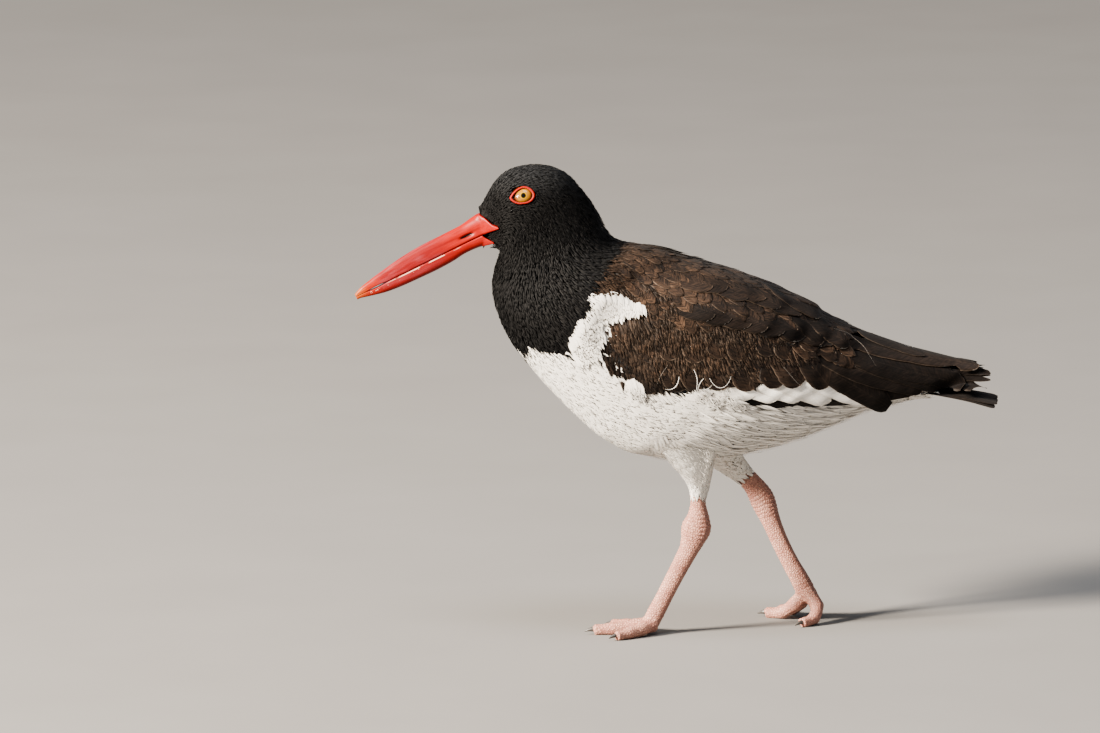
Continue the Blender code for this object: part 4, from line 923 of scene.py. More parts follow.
UNEVEN = {"greater_coverts": 1.6, "median_coverts": 2.4, "scapulars": 1.2, "upper_scapulars": 1.6}
RAGGED = {"greater_coverts": 0.06, "median_coverts": 0.1, "scapulars": 0.08, "upper_scapulars": 0.08}
USUAL_UNEVEN, USUAL_RAGGED = 0.5, 0.05  # for the tiers that these two leave out
LESSER_AREA = ((-46.5, 180.5), (-43.4, 173), (-33.3, 166.8), (-25, 160), (-18, 157), (0, 160), (60, 162),
               (76, 169), (66, 186), (40, 196), (0, 204), (-20, 209), (-40, 205))
LESSER_COUNT, BED_COUNT = 2700, 420
MEAN_TAN, DRIFT_TAN, TAN_SCATTER = 0.42, 0.26, 0.2
LOWER_EDGE = (-43.8, 171.2), (0.662, 0.749), 148  # on its slope, the way in from there, its level part
QUILL_THICKNESS, QUILL_CAMBER = 0.45, 0.35
BED_LENGTH, BED_HALF_WIDTH, BED_HEIGHTS = 14.0, 3.6, (-0.9, -0.5)

wing_finish = plumage("wing_plumage", 0.55, 0.8, 1.1, 0.4,
                      ((0.0022, 0.0015, 0.0012, 1), (0.0050, 0.0034, 0.0026, 1)),
                      ((0.0062, 0.0034, 0.0020, 1), (0.033, 0.0178, 0.010, 1)))


def quill_paths(side, roots, tips, bow):
    """Paths over the wing from roots to tips in side view, bowed to one side."""
    run = tips - roots
    across = np.stack([run[:, 1], -run[:, 0]], -1)
    points = (roots[:, None] + run[:, None] * QUILL_STEPS[None, :, None]
              + across[:, None] * (bow[:, None] * np.sin(math.pi * QUILL_STEPS))[..., None])
    return dressed.find(side, points[..., 0], points[..., 1])


def bed(weight, count, shift, skew):
    """Broad dark vanes laid flat under the others, so that no gap shows between them."""
    draw = np.random.default_rng(shift)
    s, a = strew(dressed, count, weight, shift)
    turned = skew + draw.normal(0, 0.08, count)
    path_s, path_a = comb(dressed, s, a, np.full(count, BED_LENGTH), turned, 5)
    return lay(dressed, path_s, path_a, np.full(count, BED_HALF_WIDTH),
               [np.full(count, height) for height in BED_HEIGHTS], ROUND_TIP, 3, 0.12,
               draw.uniform(0, 1, count), np.tile((0, 0.12, 0), (count, 1)), camber=0.02)


def lesser_coverts(side, draw):
    """Small feathers in brown drifts over the bend of the wing, and a dark bed under them."""
    area = inside(LESSER_AREA, side_x, side_z) & (dressed.place[..., 1] * side > 0)
    weight = (area & ~inside(SHOULDER_PATCH, side_x, seen_z)) * 1.0
    dark = bed(weight, BED_COUNT, 5, 0.7 * side)
    s, a = strew(dressed, LESSER_COUNT, weight, 3)
    x, _, z = dressed.read(dressed.place, s, a).T
    (edge_x, edge_z), (in_x, in_z), level_z = LOWER_EDGE
    inner = np.minimum((x - edge_x) * in_x + (z - edge_z) * in_z, z - level_z)  # from the lower edge
    drift = np.sin(x * 0.42 + 1.5 * np.sin(z * 0.33)) * np.sin(z * 0.37 + 1.0)
    length = np.interp(inner, (0, 10, 24), (15, 13, 10)) * draw.uniform(0.8, 1.2, LESSER_COUNT)
    turned = (np.interp(inner, (0, 8, 24), (0.45, 0.55, 0.68)) + 0.12 * drift) * side
    path_s, path_a = comb(dressed, s, a, length, turned + draw.normal(0, 0.12, LESSER_COUNT), 5)
    tan = MEAN_TAN + DRIFT_TAN * drift + draw.uniform(-TAN_SCATTER, TAN_SCATTER, LESSER_COUNT)
    tan = np.clip(tan, 0.05, 0.9) * np.interp(inner, (0, 8, 18), (0.2, 0.4, 1.0))
    half_width = np.interp(inner, (0, 12, 24), (1.7, 1.25, 0.85)) * draw.uniform(0.7, 1.3, LESSER_COUNT)
    tip = 0.32 + 0.14 * drift + draw.uniform(-0.1, 0.1, LESSER_COUNT)
    number = draw.uniform(0, 1, LESSER_COUNT)
    mark = np.stack([0 * tan, tan, draw.uniform(0, 0.2, LESSER_COUNT)], -1)
    return [dark, lay(dressed, path_s, path_a, half_width, (np.full(LESSER_COUNT, -0.6), tip), PLUME_OUTLINE,
                      3, 0.12, number, mark, camber=0.06)]


for side, label in SIDES:
    draw = np.random.default_rng(90 + side)
    for kind, tips, first_root, last_root, half_width, heights, outline, roll, mark in WING_TIERS:
        count = len(tips)
        share = np.linspace(0, 1, count)[:, None]
        roots = np.array(first_root) * (1 - share) + np.array(last_root) * share
        roots = roots + draw.uniform(-0.8, 0.8, roots.shape)
        ends = np.array(tips) + draw.uniform(-1, 1, roots.shape) * UNEVEN.get(kind, USUAL_UNEVEN)
        path_s, path_a = quill_paths(side, roots, ends, draw.uniform(-0.01, 0.03, count))
        stack = np.linspace(0, 0.25, count)
        shade = np.stack([np.ones(count), draw.uniform(0.8, 1.2, count), draw.uniform(0.6, 1.1, count)], -1)
        block = lay(dressed, path_s, path_a, np.full(count, half_width) * draw.uniform(0.94, 1.06, count),
                    (heights[0] + stack, heights[1] + stack), outline, QUILL_COLUMNS, QUILL_THICKNESS,
                    draw.uniform(0, 1, count), np.tile(mark, (count, 1)) * shade,
                    roll=np.full(count, side * roll), camber=QUILL_CAMBER,
                    ragged=RAGGED.get(kind, USUAL_RAGGED), cells=True, t=QUILL_STEPS)
        piece = sew(f"{kind}_{label}", [block], wing_finish)
        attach(piece, "root")
        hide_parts(f"wing_{label}")
    piece = sew(f"lesser_coverts_{label}", lesser_coverts(side, draw), wing_finish)
    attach(piece, "root")
    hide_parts(f"wing_{label}")

# Stray barbs: white hairs, pale feather edges and a tuft of short curls that cross the wing's lower
# edge, where the real feathers have come apart. Each is one thin vane that bends in the air.
STRAYS = (  # white or tan, then places in side view from root to tip
    (1, (9.2, 159.5), (11.4, 154.9), (11.2, 149.2), (9.7, 145.4)),
    (1, (1.0, 155.5), (0.2, 150.9), (-3.2, 148.2), (-6.8, 148.6)),
    (1, (18.2, 154.6), (20.4, 150.4), (25.0, 148.6), (28.9, 151.3), (30.3, 155.7)),
    (1, (14.8, 154.4), (12.5, 151.5), (11.4, 146.5)),
    (1, (35.0, 133.2), (38.0, 134.6), (42.0, 135.2), (47.0, 134.6), (50.8, 132.4)),
    (1, (28.3, 148.1), (31.7, 142.4), (36.2, 138.4)),
    (1, (24.0, 147.5), (29.0, 142.0), (33.4, 137.2)),
    (0, (47.5, 159.4), (46.3, 154.8), (48.0, 149.9)),
    (0, (60.0, 160.0), (66.0, 152.5), (71.5, 147.5)),
    (1, (75.0, 145.6), (78.0, 140.5), (84.6, 135.4)),
    (0, (88.0, 177.6), (97.1, 173.6), (104.9, 167.9), (112.9, 156.2)),
    (0, (-5.4, 162.0), (-9.4, 156.0), (-11.6, 150.6)),
)
TUFT_COUNT, TUFT_X, TUFT_Z = 60, (8, 32), (143.5, 148.5)
BARB_STEPS = 12
HAIR = ((0, 0.6), (0.4, 1.0), (1, 0.2))

for side, label in SIDES:
    draw = np.random.default_rng(130 + side)
    lines = [(kind, smooth(numbered(places), np.linspace(0, len(places) - 1, BARB_STEPS)))
             for kind, *places in STRAYS]
    for _ in range(TUFT_COUNT):
        root = np.array([draw.uniform(*TUFT_X), draw.uniform(*TUFT_Z)])
        turn, bend = draw.normal(-0.75, 0.35), draw.normal(0, 0.5)
        steps = np.linspace(0, draw.uniform(4, 8), BARB_STEPS)
        turn = turn + bend * steps / 8
        lines.append((1, root + np.stack([steps * np.cos(turn), steps * np.sin(turn)], -1)))
    count = len(lines)
    places = np.array([line for _, line in lines])
    kinds = np.array([kind for kind, _ in lines], float)
    path_s, path_a = dressed.find(side, places[..., 0], places[..., 1])
    for path in (path_s, path_a):
        for _ in range(4):
            path[:, 1:-1] = (path[:, :-2] + path[:, 1:-1] + path[:, 2:]) / 3
    block = lay(dressed, path_s, path_a, draw.uniform(0.10, 0.17, count) * (0.6 + 0.4 * kinds),
                (np.full(count, 1.0), np.full(count, 1.7)), HAIR, 3, 0.2, draw.uniform(0, 1, count),
                np.stack([0.08 + 0.92 * kinds, 0.9 * (1 - kinds), 0 * kinds], -1), camber=0.1, rise=0.4)
    piece = sew(f"stray_barbs_{label}", [block], wing_finish)
    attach(piece, "root")

# The mantle and the upper scapulars: broad soft feathers over the shoulders and down the back, that
# hide where the wings join.
MANTLE_TIP = ((0, 0.5), (0.4, 0.95), (0.65, 1.0), (0.8, 0.86), (0.9, 0.62), (0.96, 0.36), (1, 0.12))
MANTLE_COUNT, MANTLE_ROWS, MANTLE_COLUMNS, MANTLE_BED = 500, 15, 7, 260
HUMP_X, HUMP_LENGTH = -14, 9  # where the far shoulder stands up behind the neck

draw = np.random.default_rng(97)
mantle_weight = inside(MANTLE_AREA, side_x, side_z) * 1.0
s, a = strew(dressed, MANTLE_COUNT, mantle_weight, 9)
order = np.argsort(-s)
s, a = s[order], a[order]
x, y, _ = dressed.read(dressed.place, s, a).T
down = np.sign(y) * np.clip(np.abs(y) / 30, 0, 1) * 0.45
length = np.interp(x, (-36, 0, 60), (12, 22, 25)) * draw.uniform(0.85, 1.15, MANTLE_COUNT)
half_width = np.interp(x, (-36, 0, 60), (2.2, 4.4, 5.0)) * draw.uniform(0.85, 1.15, MANTLE_COUNT)
path_s, path_a = comb(dressed, s, a, length, down + draw.normal(0, 0.08, MANTLE_COUNT), MANTLE_ROWS)
hump = np.exp(-((x - HUMP_X) / HUMP_LENGTH) ** 2) * np.clip((y + 2) / 8, 0, 1)
tip = draw.uniform(0.2, 0.6, MANTLE_COUNT) + 2.0 * hump
number = draw.uniform(0, 1, MANTLE_COUNT)
tan = draw.uniform(0.2, 0.6, MANTLE_COUNT) * (1 - hump) * np.interp(x, (-10, 30), (1.9, 1))
mark = np.stack([0 * tan, tan, draw.uniform(0.05, 0.3, MANTLE_COUNT)], -1)
block = lay(dressed, path_s, path_a, half_width, (-0.5 + 1.6 * hump, tip), MANTLE_TIP, MANTLE_COLUMNS, 0.15,
            number, mark, camber=0.1, ragged=0.1)
beds = [bed(mantle_weight * (dressed.place[..., 1] * side > 0), MANTLE_BED, 15, 0.35 * side)
        for side, _ in SIDES]
piece = sew("mantle", beds + [block], wing_finish)
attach(piece, "root")
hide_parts("torso")

# The tail: six pairs of blackish feathers fanned from under the coverts, each outer pair under
# the pair inside it.
TAIL_PAIRS = 6
TAIL_LINE = ((134.0, 142.1), (150.0, 140.3), (170.0, 137.6), (184.3, 135.0))
TAIL_OUTLINE = ((0, 0.5), (0.4, 0.85), (0.85, 1.0), (0.95, 0.9), (0.985, 0.68), (1, 0.4))
TAIL_FAN, TAIL_HALF_WIDTH, TAIL_THICKNESS = math.radians(6.5), 4.9, 0.4
TAIL_ROLL, TAIL_CAMBER, TAIL_LIFT, CENTRE_LIFT = 0.16, 0.3, -0.2, 0.35
FIRST_Y, LEAST_Y, CENTRE_LEAST_Y = 2.4, 0.2, -1.6  # only the centre feather crosses the middle
TAIL_ROOT, TAIL_LENGTH = 134.0, 49.6
PAIR_STEP, PAIR_DROP, LAST_DROP = 1.6, 0.24, 1.7  # how far apart pairs start and lie under each other

t, u = QUILL_STEPS[:, None], np.linspace(-1, 1, QUILL_COLUMNS)
reach = TAIL_HALF_WIDTH * np.interp(t, *np.array(TAIL_OUTLINE).T) * u
tops, numbers, lengths = [], [], []
draw = np.random.default_rng(7)
for pair in range(TAIL_PAIRS):
    for side, _ in SIDES:
        out = (pair + 0.5) / TAIL_PAIRS
        turn = TAIL_FAN * out
        length = TAIL_LENGTH * (1 - 0.03 * out**2) * draw.uniform(0.975, 1.0)
        x = TAIL_ROOT + length * t * math.cos(turn) - reach * math.sin(turn)
        y = FIRST_Y + pair * PAIR_STEP + length * t * math.sin(turn) + reach
        centre = pair == 0 and side < 0  # the one feather that lies over all the others
        z = (smooth(TAIL_LINE, x.ravel())[:, 0].reshape(x.shape) - PAIR_DROP * pair * (1 + 0.5 * t**2)
             - (pair == TAIL_PAIRS - 1) * LAST_DROP * t**3 - TAIL_ROLL * reach
             + TAIL_CAMBER * (1 - np.abs(u)) + TAIL_LIFT + CENTRE_LIFT * centre)
        y = np.maximum(CENTRE_LEAST_Y if centre else LEAST_Y, y)
        tops.append(np.stack([x, side * y, z], -1)[:, ::side])
        numbers.append(draw.uniform())
        lengths.append(length)
tops = np.array(tops)
count = len(tops)
down = vane_depth(TAIL_THICKNESS, QUILL_STEPS, u) * np.array([0, 0, -1.0])
block = close_vanes(tops, down, reach, np.array(lengths), np.array(numbers), QUILL_STEPS, u,
                    np.tile([0, 0.05, 0.1], (count, 1)), bake_cells(count, QUILL_STEPS, u))
piece = sew("tail_feathers", [block], wing_finish)
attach(piece, "root")
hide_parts("tail")

# The bill: two horny mandibles that meet along the mouth line, orange red at the base, rose in the
# middle and worn to yellow at the tip, with a nostril slit in a long groove.
MOUTH_CORNER, BILL_DIP = (-102.3, 233.3), math.radians(26.7)
BILL_TOP = ((-3.0, 9.0), (6.0, 11.3), (18.6, 9.9), (28.0, 9.8), (47.3, 9.5), (57.3, 8.6),
            (67.7, 7.0), (78.3, 5.0), (85.6, 3.3), (89.8, 1.5))
BILL_BOTTOM = ((-3.0, 7.2), (6.5, 7.0), (17.0, 5.7), (23.0, 5.6), (31.0, 6.5), (40.0, 6.9),
               (52.5, 6.7), (65.0, 6.2), (74.0, 5.2), (80.0, 3.9), (88.0, 1.9))
BILL_WIDTH = ((-3.0, 7.4), (3.0, 6.8), (8.0, 6.0), (15.0, 4.9), (25.0, 4.3), (45.0, 4.0), (65.0, 3.3),
              (80.0, 2.3), (89.8, 1.3))
BILL_SLICES, BILL_ARC, BILL_FLAT = 170, 44, 8  # slices, points of a slice's arc and of its flat side
BILL_TIP, UPPER_START, LOWER_START = 89.8, -1.3, 5.2
PARTING, TIP_PARTING, TIP_PARTING_AT = 0.12, 0.45, 76  # half the gap, and what it gains near the tip
GROOVE_UP, GROOVE_RISE, GROOVE_HALF, GROOVE_DEPTH, PIT_DEPTH = 3.5, 0.02, 1.1, 0.42, 1.6
NOSTRIL = (17.5, 3.4, 4.4, 0.75)  # along, up, half length, half height

bill_finish = Finish("bill_finish", Roughness=0.36, Specular_IOR_Level=0.07, Subsurface_Weight=0.05,
                     Subsurface_Scale=0.002, Subsurface_Radius=(1.0, 0.25, 0.15), Coat_Weight=0.03,
                     Coat_Roughness=0.25)
ahead, above, aside = bill_finish.layer("bill")
grain = bill_finish.speckle(bill_finish.vector(ahead * 0.09, above, aside), 1.1, 4.0)
bloom = bill_finish.speckle(bill_finish.vector(ahead * 0.05, above * 0.25, aside), 1.0, 3.0)
along = ahead + (grain - 0.5) * 12.0
colour = along.between(22.0, 44.0).blend((0.19, 0.0012, 0.0001, 1), (0.135, 0.0034, 0.0042, 1))
rose = bloom.between(0.42, 0.7) * ahead.between(25.0, 45.0)
colour = rose.blend(colour, (0.18, 0.017, 0.021, 1))
colour = along.between(70.0, 82.0).blend(colour, (0.20, 0.0055, 0.0002, 1))
colour = along.between(80.0, 90.0).blend(colour, (0.25, 0.046, 0.0006, 1))
colour = (above.between(-0.6, 0.2, 1.0, 0.0) * 0.35).blend(colour, (0.17, 0.003, 0.002, 1))
# The nostril slit is painted near black: painted shade in its deep pit.
nostril_shade = bill_finish.vector((ahead - NOSTRIL[0]) / NOSTRIL[2], (above - NOSTRIL[1]) / NOSTRIL[3])
nostril_shade = bill_finish.node("ShaderNodeVectorMath", {0: nostril_shade}, "Value", operation="LENGTH")
colour = nostril_shade.between(0.75, 1.15, 1.0, 0.0).blend(colour, (0.02, 0.004, 0.003, 1))
scratch = bill_finish.speckle(bill_finish.vector(ahead * 0.28, above * 2.6), 1.0, 3.0).between(0.66, 0.7)
near_line = abs(above + 1.2).between(0.4, 1.8, 1.0, 0.0)
colour = (scratch * (near_line * ahead.between(40.0, 55.0))).blend(colour, (0.86, 0.72, 0.55, 1))
# A broken pale line just under the mouth line along the middle of the bill: partly a worn edge and partly a
# painted highlight on the lower mandible's upper edge.
edge_wear_and_highlight = abs(above + 0.62).between(0.1, 0.32, 1.0, 0.0)
edge_wear_and_highlight = edge_wear_and_highlight * bill_finish.speckle(bill_finish.vector(ahead * 0.16, above, 3.0), 1.0).between(0.42, 0.56)
edge_wear_and_highlight = edge_wear_and_highlight * (ahead.between(22.0, 30.0) * ahead.between(62.0, 72.0, 1.0, 0.0))
colour = (edge_wear_and_highlight * 0.7).blend(colour, (0.80, 0.55, 0.40, 1))
bill_finish.feed(Base_Color=colour.lit(grain.between(0.3, 0.7, 0.86, 1.1)),
                 Roughness=grain.between(0.3, 0.7, 0.3, 0.46), Normal=bill_finish.bump(grain, 0.0002, 0.25))


def bill_place(along, up, across):
    """Points of the bill's own axes as points of the bird."""
    forward = np.array([-math.cos(BILL_DIP), 0, -math.sin(BILL_DIP)])
    upward = np.array([-math.sin(BILL_DIP), 0, math.cos(BILL_DIP)])
    return (np.array([MOUTH_CORNER[0], 0, MOUTH_CORNER[1]]) + forward * along[..., None]
            + upward * up[..., None] + np.array([0, 1.0, 0]) * across[..., None])


# Behind the horn the soft gape runs over the face, where bill and skin meet. These are its upper and
# lower edges, by place along the bill, and how far it stands off the face.
GAPE_TOP = ((-1.3, 1.3), (1.3, 3.7), (3.15, 7.6), (4.0, 9.0), (5.7, 11.2), (7.0, 11.2))
GAPE_CHIN = ((5.2, 6.2), (7.0, 4.0), (8.4, 2.2), (9.6, 0.12), (12.0, 0.12))
GAPE_STAND = 0.4
face_solid, _ = solids_tree(("head",))


def own_bill(points):
    """Where points lie on the bill's own axes."""
    back = points - np.array([MOUTH_CORNER[0], 0, MOUTH_CORNER[1]])
    c, s = math.cos(BILL_DIP), math.sin(BILL_DIP)
    return np.stack([-back[..., 0] * c - back[..., 2] * s, -back[..., 0] * s + back[..., 2] * c,
                     back[..., 1]], -1)


def face_width(points):
    """Half the face's width at each point seen from the side, or nothing in front of the face."""
    found = np.zeros(points.shape[:-1])
    for spot in np.ndindex(found.shape):
        hit = face_solid.ray_cast(Vector((points[spot][0], 60.0, points[spot][2])), Vector((0, -1, 0)), 59.0)
        found[spot] = hit[0].y * taper(points[spot][0]) + GAPE_STAND if hit[0] is not None else 0.0
    return found


turn = np.linspace(0, math.pi, BILL_ARC)
for name, table, way, start in (("bill_upper", BILL_TOP, 1, UPPER_START),
                               ("bill_lower", BILL_BOTTOM, -1, LOWER_START)):
    along = start + (BILL_TIP - start) * np.linspace(0, 1, BILL_SLICES) ** 1.15
    wide = smooth(BILL_WIDTH, along)[:, 0][:, None]
    near_tip = np.clip(1 - np.abs(along - TIP_PARTING_AT) / 9, 0, 1)
    parting = PARTING + TIP_PARTING * np.sin(math.pi / 2 * near_tip) ** 2
    tall = smooth(table, along)[:, 0]
    if way > 0:
        tall = np.minimum(tall, np.interp(along, *np.array(GAPE_TOP).T, right=20.0))
    else:
        parting = np.maximum(parting, np.interp(along, *np.array(GAPE_CHIN).T))
    parting, tall = parting[:, None], np.maximum(tall, parting + 0.3)[:, None]
    up = parting + (tall - parting) * np.sin(turn) ** 0.85
    on_face = face_width(bill_place(along[:, None] + 0 * up, way * up, 0 * up))
    behind = face_width(bill_place(along[:, None] - 2.6 + 0 * up, way * up, 0 * up))
    on_face = np.maximum(on_face, 0.93 * behind)
    reach = np.maximum(wide * np.abs(np.cos(turn)) ** 0.8, on_face * np.abs(np.cos(turn)) ** 0.12)
    for _ in range(3):
        reach[1:-1] = (reach[:-2] + 2 * reach[1:-1] + reach[2:]) / 4
    side_on = reach * np.sign(np.cos(turn))
    if way > 0:
        trough = np.exp(-((up - GROOVE_UP - GROOVE_RISE * along[:, None]) / GROOVE_HALF) ** 2)
        trough = trough * np.clip((along[:, None] - 5) / 6, 0, 1) * np.clip((46 - along[:, None]) / 20, 0, 1)
        pit = np.exp(-(((along[:, None] - NOSTRIL[0]) / NOSTRIL[2]) ** 2
                       + ((up - NOSTRIL[1]) / NOSTRIL[3]) ** 2) ** 2)
        sunk = GROOVE_DEPTH * trough + PIT_DEPTH * pit
        side_on = side_on * (1 - sunk / np.maximum(np.abs(side_on), 2.0))
    side_on = side_on * (0.93 + 0.07 * np.sin(turn) ** 0.3)
    flat = np.linspace(-0.85, 0.85, BILL_FLAT)
    level = 0 * up[:, :BILL_FLAT]
    ring = np.concatenate([np.stack([along[:, None] + 0 * up, way * up, side_on], -1),
                           np.stack([along[:, None] + level, way * (parting + level),
                                     flat * side_on[:, :1]], -1)], 1)
    if way > 0:
        ring = ring[:, ::-1]
    shell, quads = closed_rings(bill_place(ring[..., 0], ring[..., 1], ring[..., 2]))
    piece = build_mesh(name + "_horn", shell, quads, bill_finish.material, {"bill": own_bill(shell)}, None)
    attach(piece, "root")
    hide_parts(name)

# Eyes: round, with a golden iris round a small pupil, set in a bare orange-red lid. The ball and the
# lid follow the curve of the cheek round them, and the lid is a fleshy ring with fine wrinkles.
EYE_AT = (-87.2, 254.0)
PUPIL = 1.45
EYE_HALF, EYE_STAND = (6.9, 4.3, 4.9), 1.1  # half sizes, how far it stands out of the cheek
LID_FRONT, LID_BACK, LID_RISE, LID_DROP, LID_TILT = 7.1, 5.9, 4.4, 4.2, 0.22
LID_STEPS, LID_SIDES = 96, 16
LID_PINCH_FRONT, LID_PINCH_BACK, LID_ROD, LID_CORNER = 1.55, 1.1, 0.6, 0.2
CHEEK_RADII, CHEEK_OVAL, CHEEK_RAYS = (9.0, 11.0), 0.8, 24  # where the cheek's curve is read
EYE_SET_FORWARD, LID_STAND, LID_WRINKLES, WRINKLE_DEPTH = 0.4, 0.4, 31, 0.07

eye_finish = Finish("eye_finish", Roughness=0.3, Specular_IOR_Level=0.05, Coat_Weight=0.3,
                    Coat_Roughness=0.03)
x, _, z = eye_finish.where().parts()
dx, dz = x / MM - EYE_AT[0], z / MM - EYE_AT[1]
off = (dx * dx + dz * dz).step("SQRT")
turned = dz.step("ARCTAN2", dx)
rays = eye_finish.speckle(eye_finish.vector(turned * 7.0, off * 0.6), 1.0, 4.0, 0.6)
colour = rays.between(0.3, 0.7).blend((0.185, 0.068, 0.0, 1), (0.235, 0.1, 0.0, 1))
colour = off.between(3.2, 4.4).blend(colour, (0.13, 0.03, 0.0, 1))
colour = off.between(4.2, 5.2).blend(colour, (0.035, 0.007, 0.001, 1))
colour = off.between(PUPIL, PUPIL + 0.9, 0.8, 0.0).blend(colour, (0.26, 0.15, 0.0, 1))
colour = off.between(PUPIL - 0.06, PUPIL + 0.06, 1.0, 0.0).blend(colour, (0.001, 0.001, 0.001, 1))
fleck = ((dx + 2.3).step("POWER", 2.0) + (dz + 1.3).step("POWER", 2.0)).step("SQRT")
eye_finish.feed(Base_Color=fleck.between(0.2, 0.5, 0.85, 0.0).blend(colour, (0.02, 0.008, 0.003, 1)))

lid_finish = Finish("lid_finish", Roughness=0.45, Specular_IOR_Level=0.1, Subsurface_Weight=0.1,
                    Subsurface_Scale=0.001, Subsurface_Radius=(1.0, 0.25, 0.1))
folds = lid_finish.speckle(lid_finish.where(), 2600.0, 3.0)
# The lid's inner side, towards the eye, is painted dark: a painted shadow along the line between lid and
# iris.
inner = lid_finish.layer("lid")[0]
colour = folds.between(0.3, 0.7).blend((0.16, 0.0014, 0.0002, 1), (0.25, 0.0042, 0.0002, 1))
lid_finish.feed(Base_Color=inner.between(0.62, 0.9).blend(colour, (0.06, 0.012, 0.004, 1)),
                Normal=lid_finish.bump(folds, 0.0002, 0.4))


def curve_terms(dx, dz):
    """The terms of a curved surface at steps dx and dz from the eye's middle."""
    return np.stack([dx * 0 + 1, dx, dz, dx * dx, dx * dz, dz * dz], -1)


for side, label in SIDES:
    samples, heights = [], []
    for k in range(CHEEK_RAYS):
        for r in CHEEK_RADII:
            angle = 2 * math.pi * k / CHEEK_RAYS
            dx, dz = r * math.cos(angle), r * CHEEK_OVAL * math.sin(angle)
            start = Vector((EYE_AT[0] + dx, side * 60, EYE_AT[1] + dz))
            hit = face_solid.ray_cast(start, Vector((0, -side, 0)))
            if hit[0] is not None:
                samples.append(curve_terms(dx, dz))
                heights.append(side * hit[0].y)
    cheek = np.linalg.lstsq(np.array(samples), np.array(heights), rcond=None)[0]
    turn = np.linspace(0, math.pi, 40)[:, None]
    round_it = np.linspace(0, 2 * math.pi, 64, endpoint=False)[None]
    ball = np.stack([np.sin(turn) * np.cos(round_it), -np.cos(turn) + 0 * round_it,
                     -np.sin(turn) * np.sin(round_it)], -1)[1:-1]
    middle = np.array([EYE_AT[0] - EYE_SET_FORWARD, side * (cheek[0] + EYE_STAND - EYE_HALF[1]),
                       EYE_AT[1]])
    ball = ball * np.array(EYE_HALF)
    dx, dz = ball[..., 0], ball[..., 2]
    ball[..., 1] += side * (curve_terms(dx, dz)[..., 1:] @ cheek[1:])
    ball[..., 2] += LID_TILT * np.minimum(dx, 0)
    points, quads = closed_rings(middle + ball)
    piece = build_mesh(f"eyeball_{label}", points, quads, eye_finish.material, {}, None)
    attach(piece, "root")
    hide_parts(f"eye_{label}")

    turn = np.linspace(0, 2 * math.pi, LID_STEPS, endpoint=False)
    front = np.cos(turn) < 0
    dx = np.where(front, LID_FRONT, LID_BACK) * np.cos(turn)
    pinch = np.where(front, LID_PINCH_FRONT, LID_PINCH_BACK)
    dz = (np.where(np.sin(turn) > 0, LID_RISE, LID_DROP) * np.sign(np.sin(turn))
          * np.abs(np.sin(turn)) ** pinch + np.where(front, LID_TILT * dx, 0))
    dy = curve_terms(dx, dz) @ cheek
    outward = unit(np.stack([dx, 0 * dx, dz], -1))
    rod = LID_ROD + LID_CORNER * np.abs(np.cos(turn)) ** 3
    spin = np.linspace(0, 2 * math.pi, LID_SIDES, endpoint=False)
    path = np.stack([EYE_AT[0] + dx, side * (dy + LID_STAND), EYE_AT[1] + dz], -1)
    wrinkle = 1 + WRINKLE_DEPTH * np.sin(turn * LID_WRINKLES)[:, None]
    ring = (path[:, None] + outward[:, None] * (rod[:, None] * np.cos(spin) * wrinkle)[..., None]
            + np.array([0, side, 0]) * (rod[:, None] * 1.15 * np.sin(spin) * wrinkle)[..., None])
    grid = np.arange(LID_STEPS * LID_SIDES).reshape(LID_STEPS, LID_SIDES)
    after = np.roll(grid, -1, 0)
    quads = np.stack([grid, after, np.roll(after, -1, 1), np.roll(grid, -1, 1)], -1).reshape(-1, 4)
    if side < 0:
        quads = quads[:, ::-1]
    # How far each place of the rod faces the eye, where the finish paints the painted shadow.
    inner = np.repeat(np.clip(-np.cos(spin), 0, 1)[None], LID_STEPS, 0).reshape(-1, 1) * np.ones(3)
    piece = build_mesh(f"lid_{label}", ring.reshape(-1, 3), quads, lid_finish.material, {"lid": inner}, None)
    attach(piece, "root")
    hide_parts(f"eyelid_{label}")

# Legs: bare pinkish skin in small scales from the cuff to the toes, wrinkled at the joints, with
# rows of narrow plates over the toes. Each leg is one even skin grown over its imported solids.
LEG_VOXEL, LEG_PASSES = 0.00045, 6
LEG_LINES = {
    LEFT: ((12.2, -20.8, 77.5), (12.3, -20.2, 70.0), (11.5, -19.6, 63.5), (9.8, -19.2, 57.5),
           (7.4, -18.6, 50.5), (0.0, -17.4, 36.0), (-7.4, -16.2, 21.0), (-12.2, -15.4, 11.5)),
    RIGHT: ((42.5, 24.3, 81.5), (46.5, 24.4, 76.5), (49.6, 24.5, 71.0), (52.4, 24.6, 64.0),
            (55.0, 24.7, 57.5), (59.8, 24.8, 46.0), (66.0, 24.9, 33.5), (71.4, 25.0, 24.0),
            (74.4, 25.0, 17.6)),
}
HOCK = 2  # the point of each line that is the middle of its hock
ANKLES = {LEFT: (-13.6, -15.2, 7.5), RIGHT: (75.0, 25.0, 15.0)}
ANKLE_FILL = {LEFT: ((-13.0, -15.3, 8.0), 3.2), RIGHT: ((75.6, 25.0, 17.6), 3.9)}  # middle, radius
SWELL = 0.0002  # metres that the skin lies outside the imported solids
TOES, TOE_END_RADIUS, CLAW_BASE = ("inner", "middle", "outer"), 1.75, 0.9
HOCK_FOLDS, ANKLE_FOLDS = (10, 0.24), (7, 0.2)  # how far from the joint, how deep
SCUTE_RATE, SCUTE_DEPTH, SCUTES_FROM, SCUTES_BELOW = 1.9, 0.16, 7, 12  # over the toes

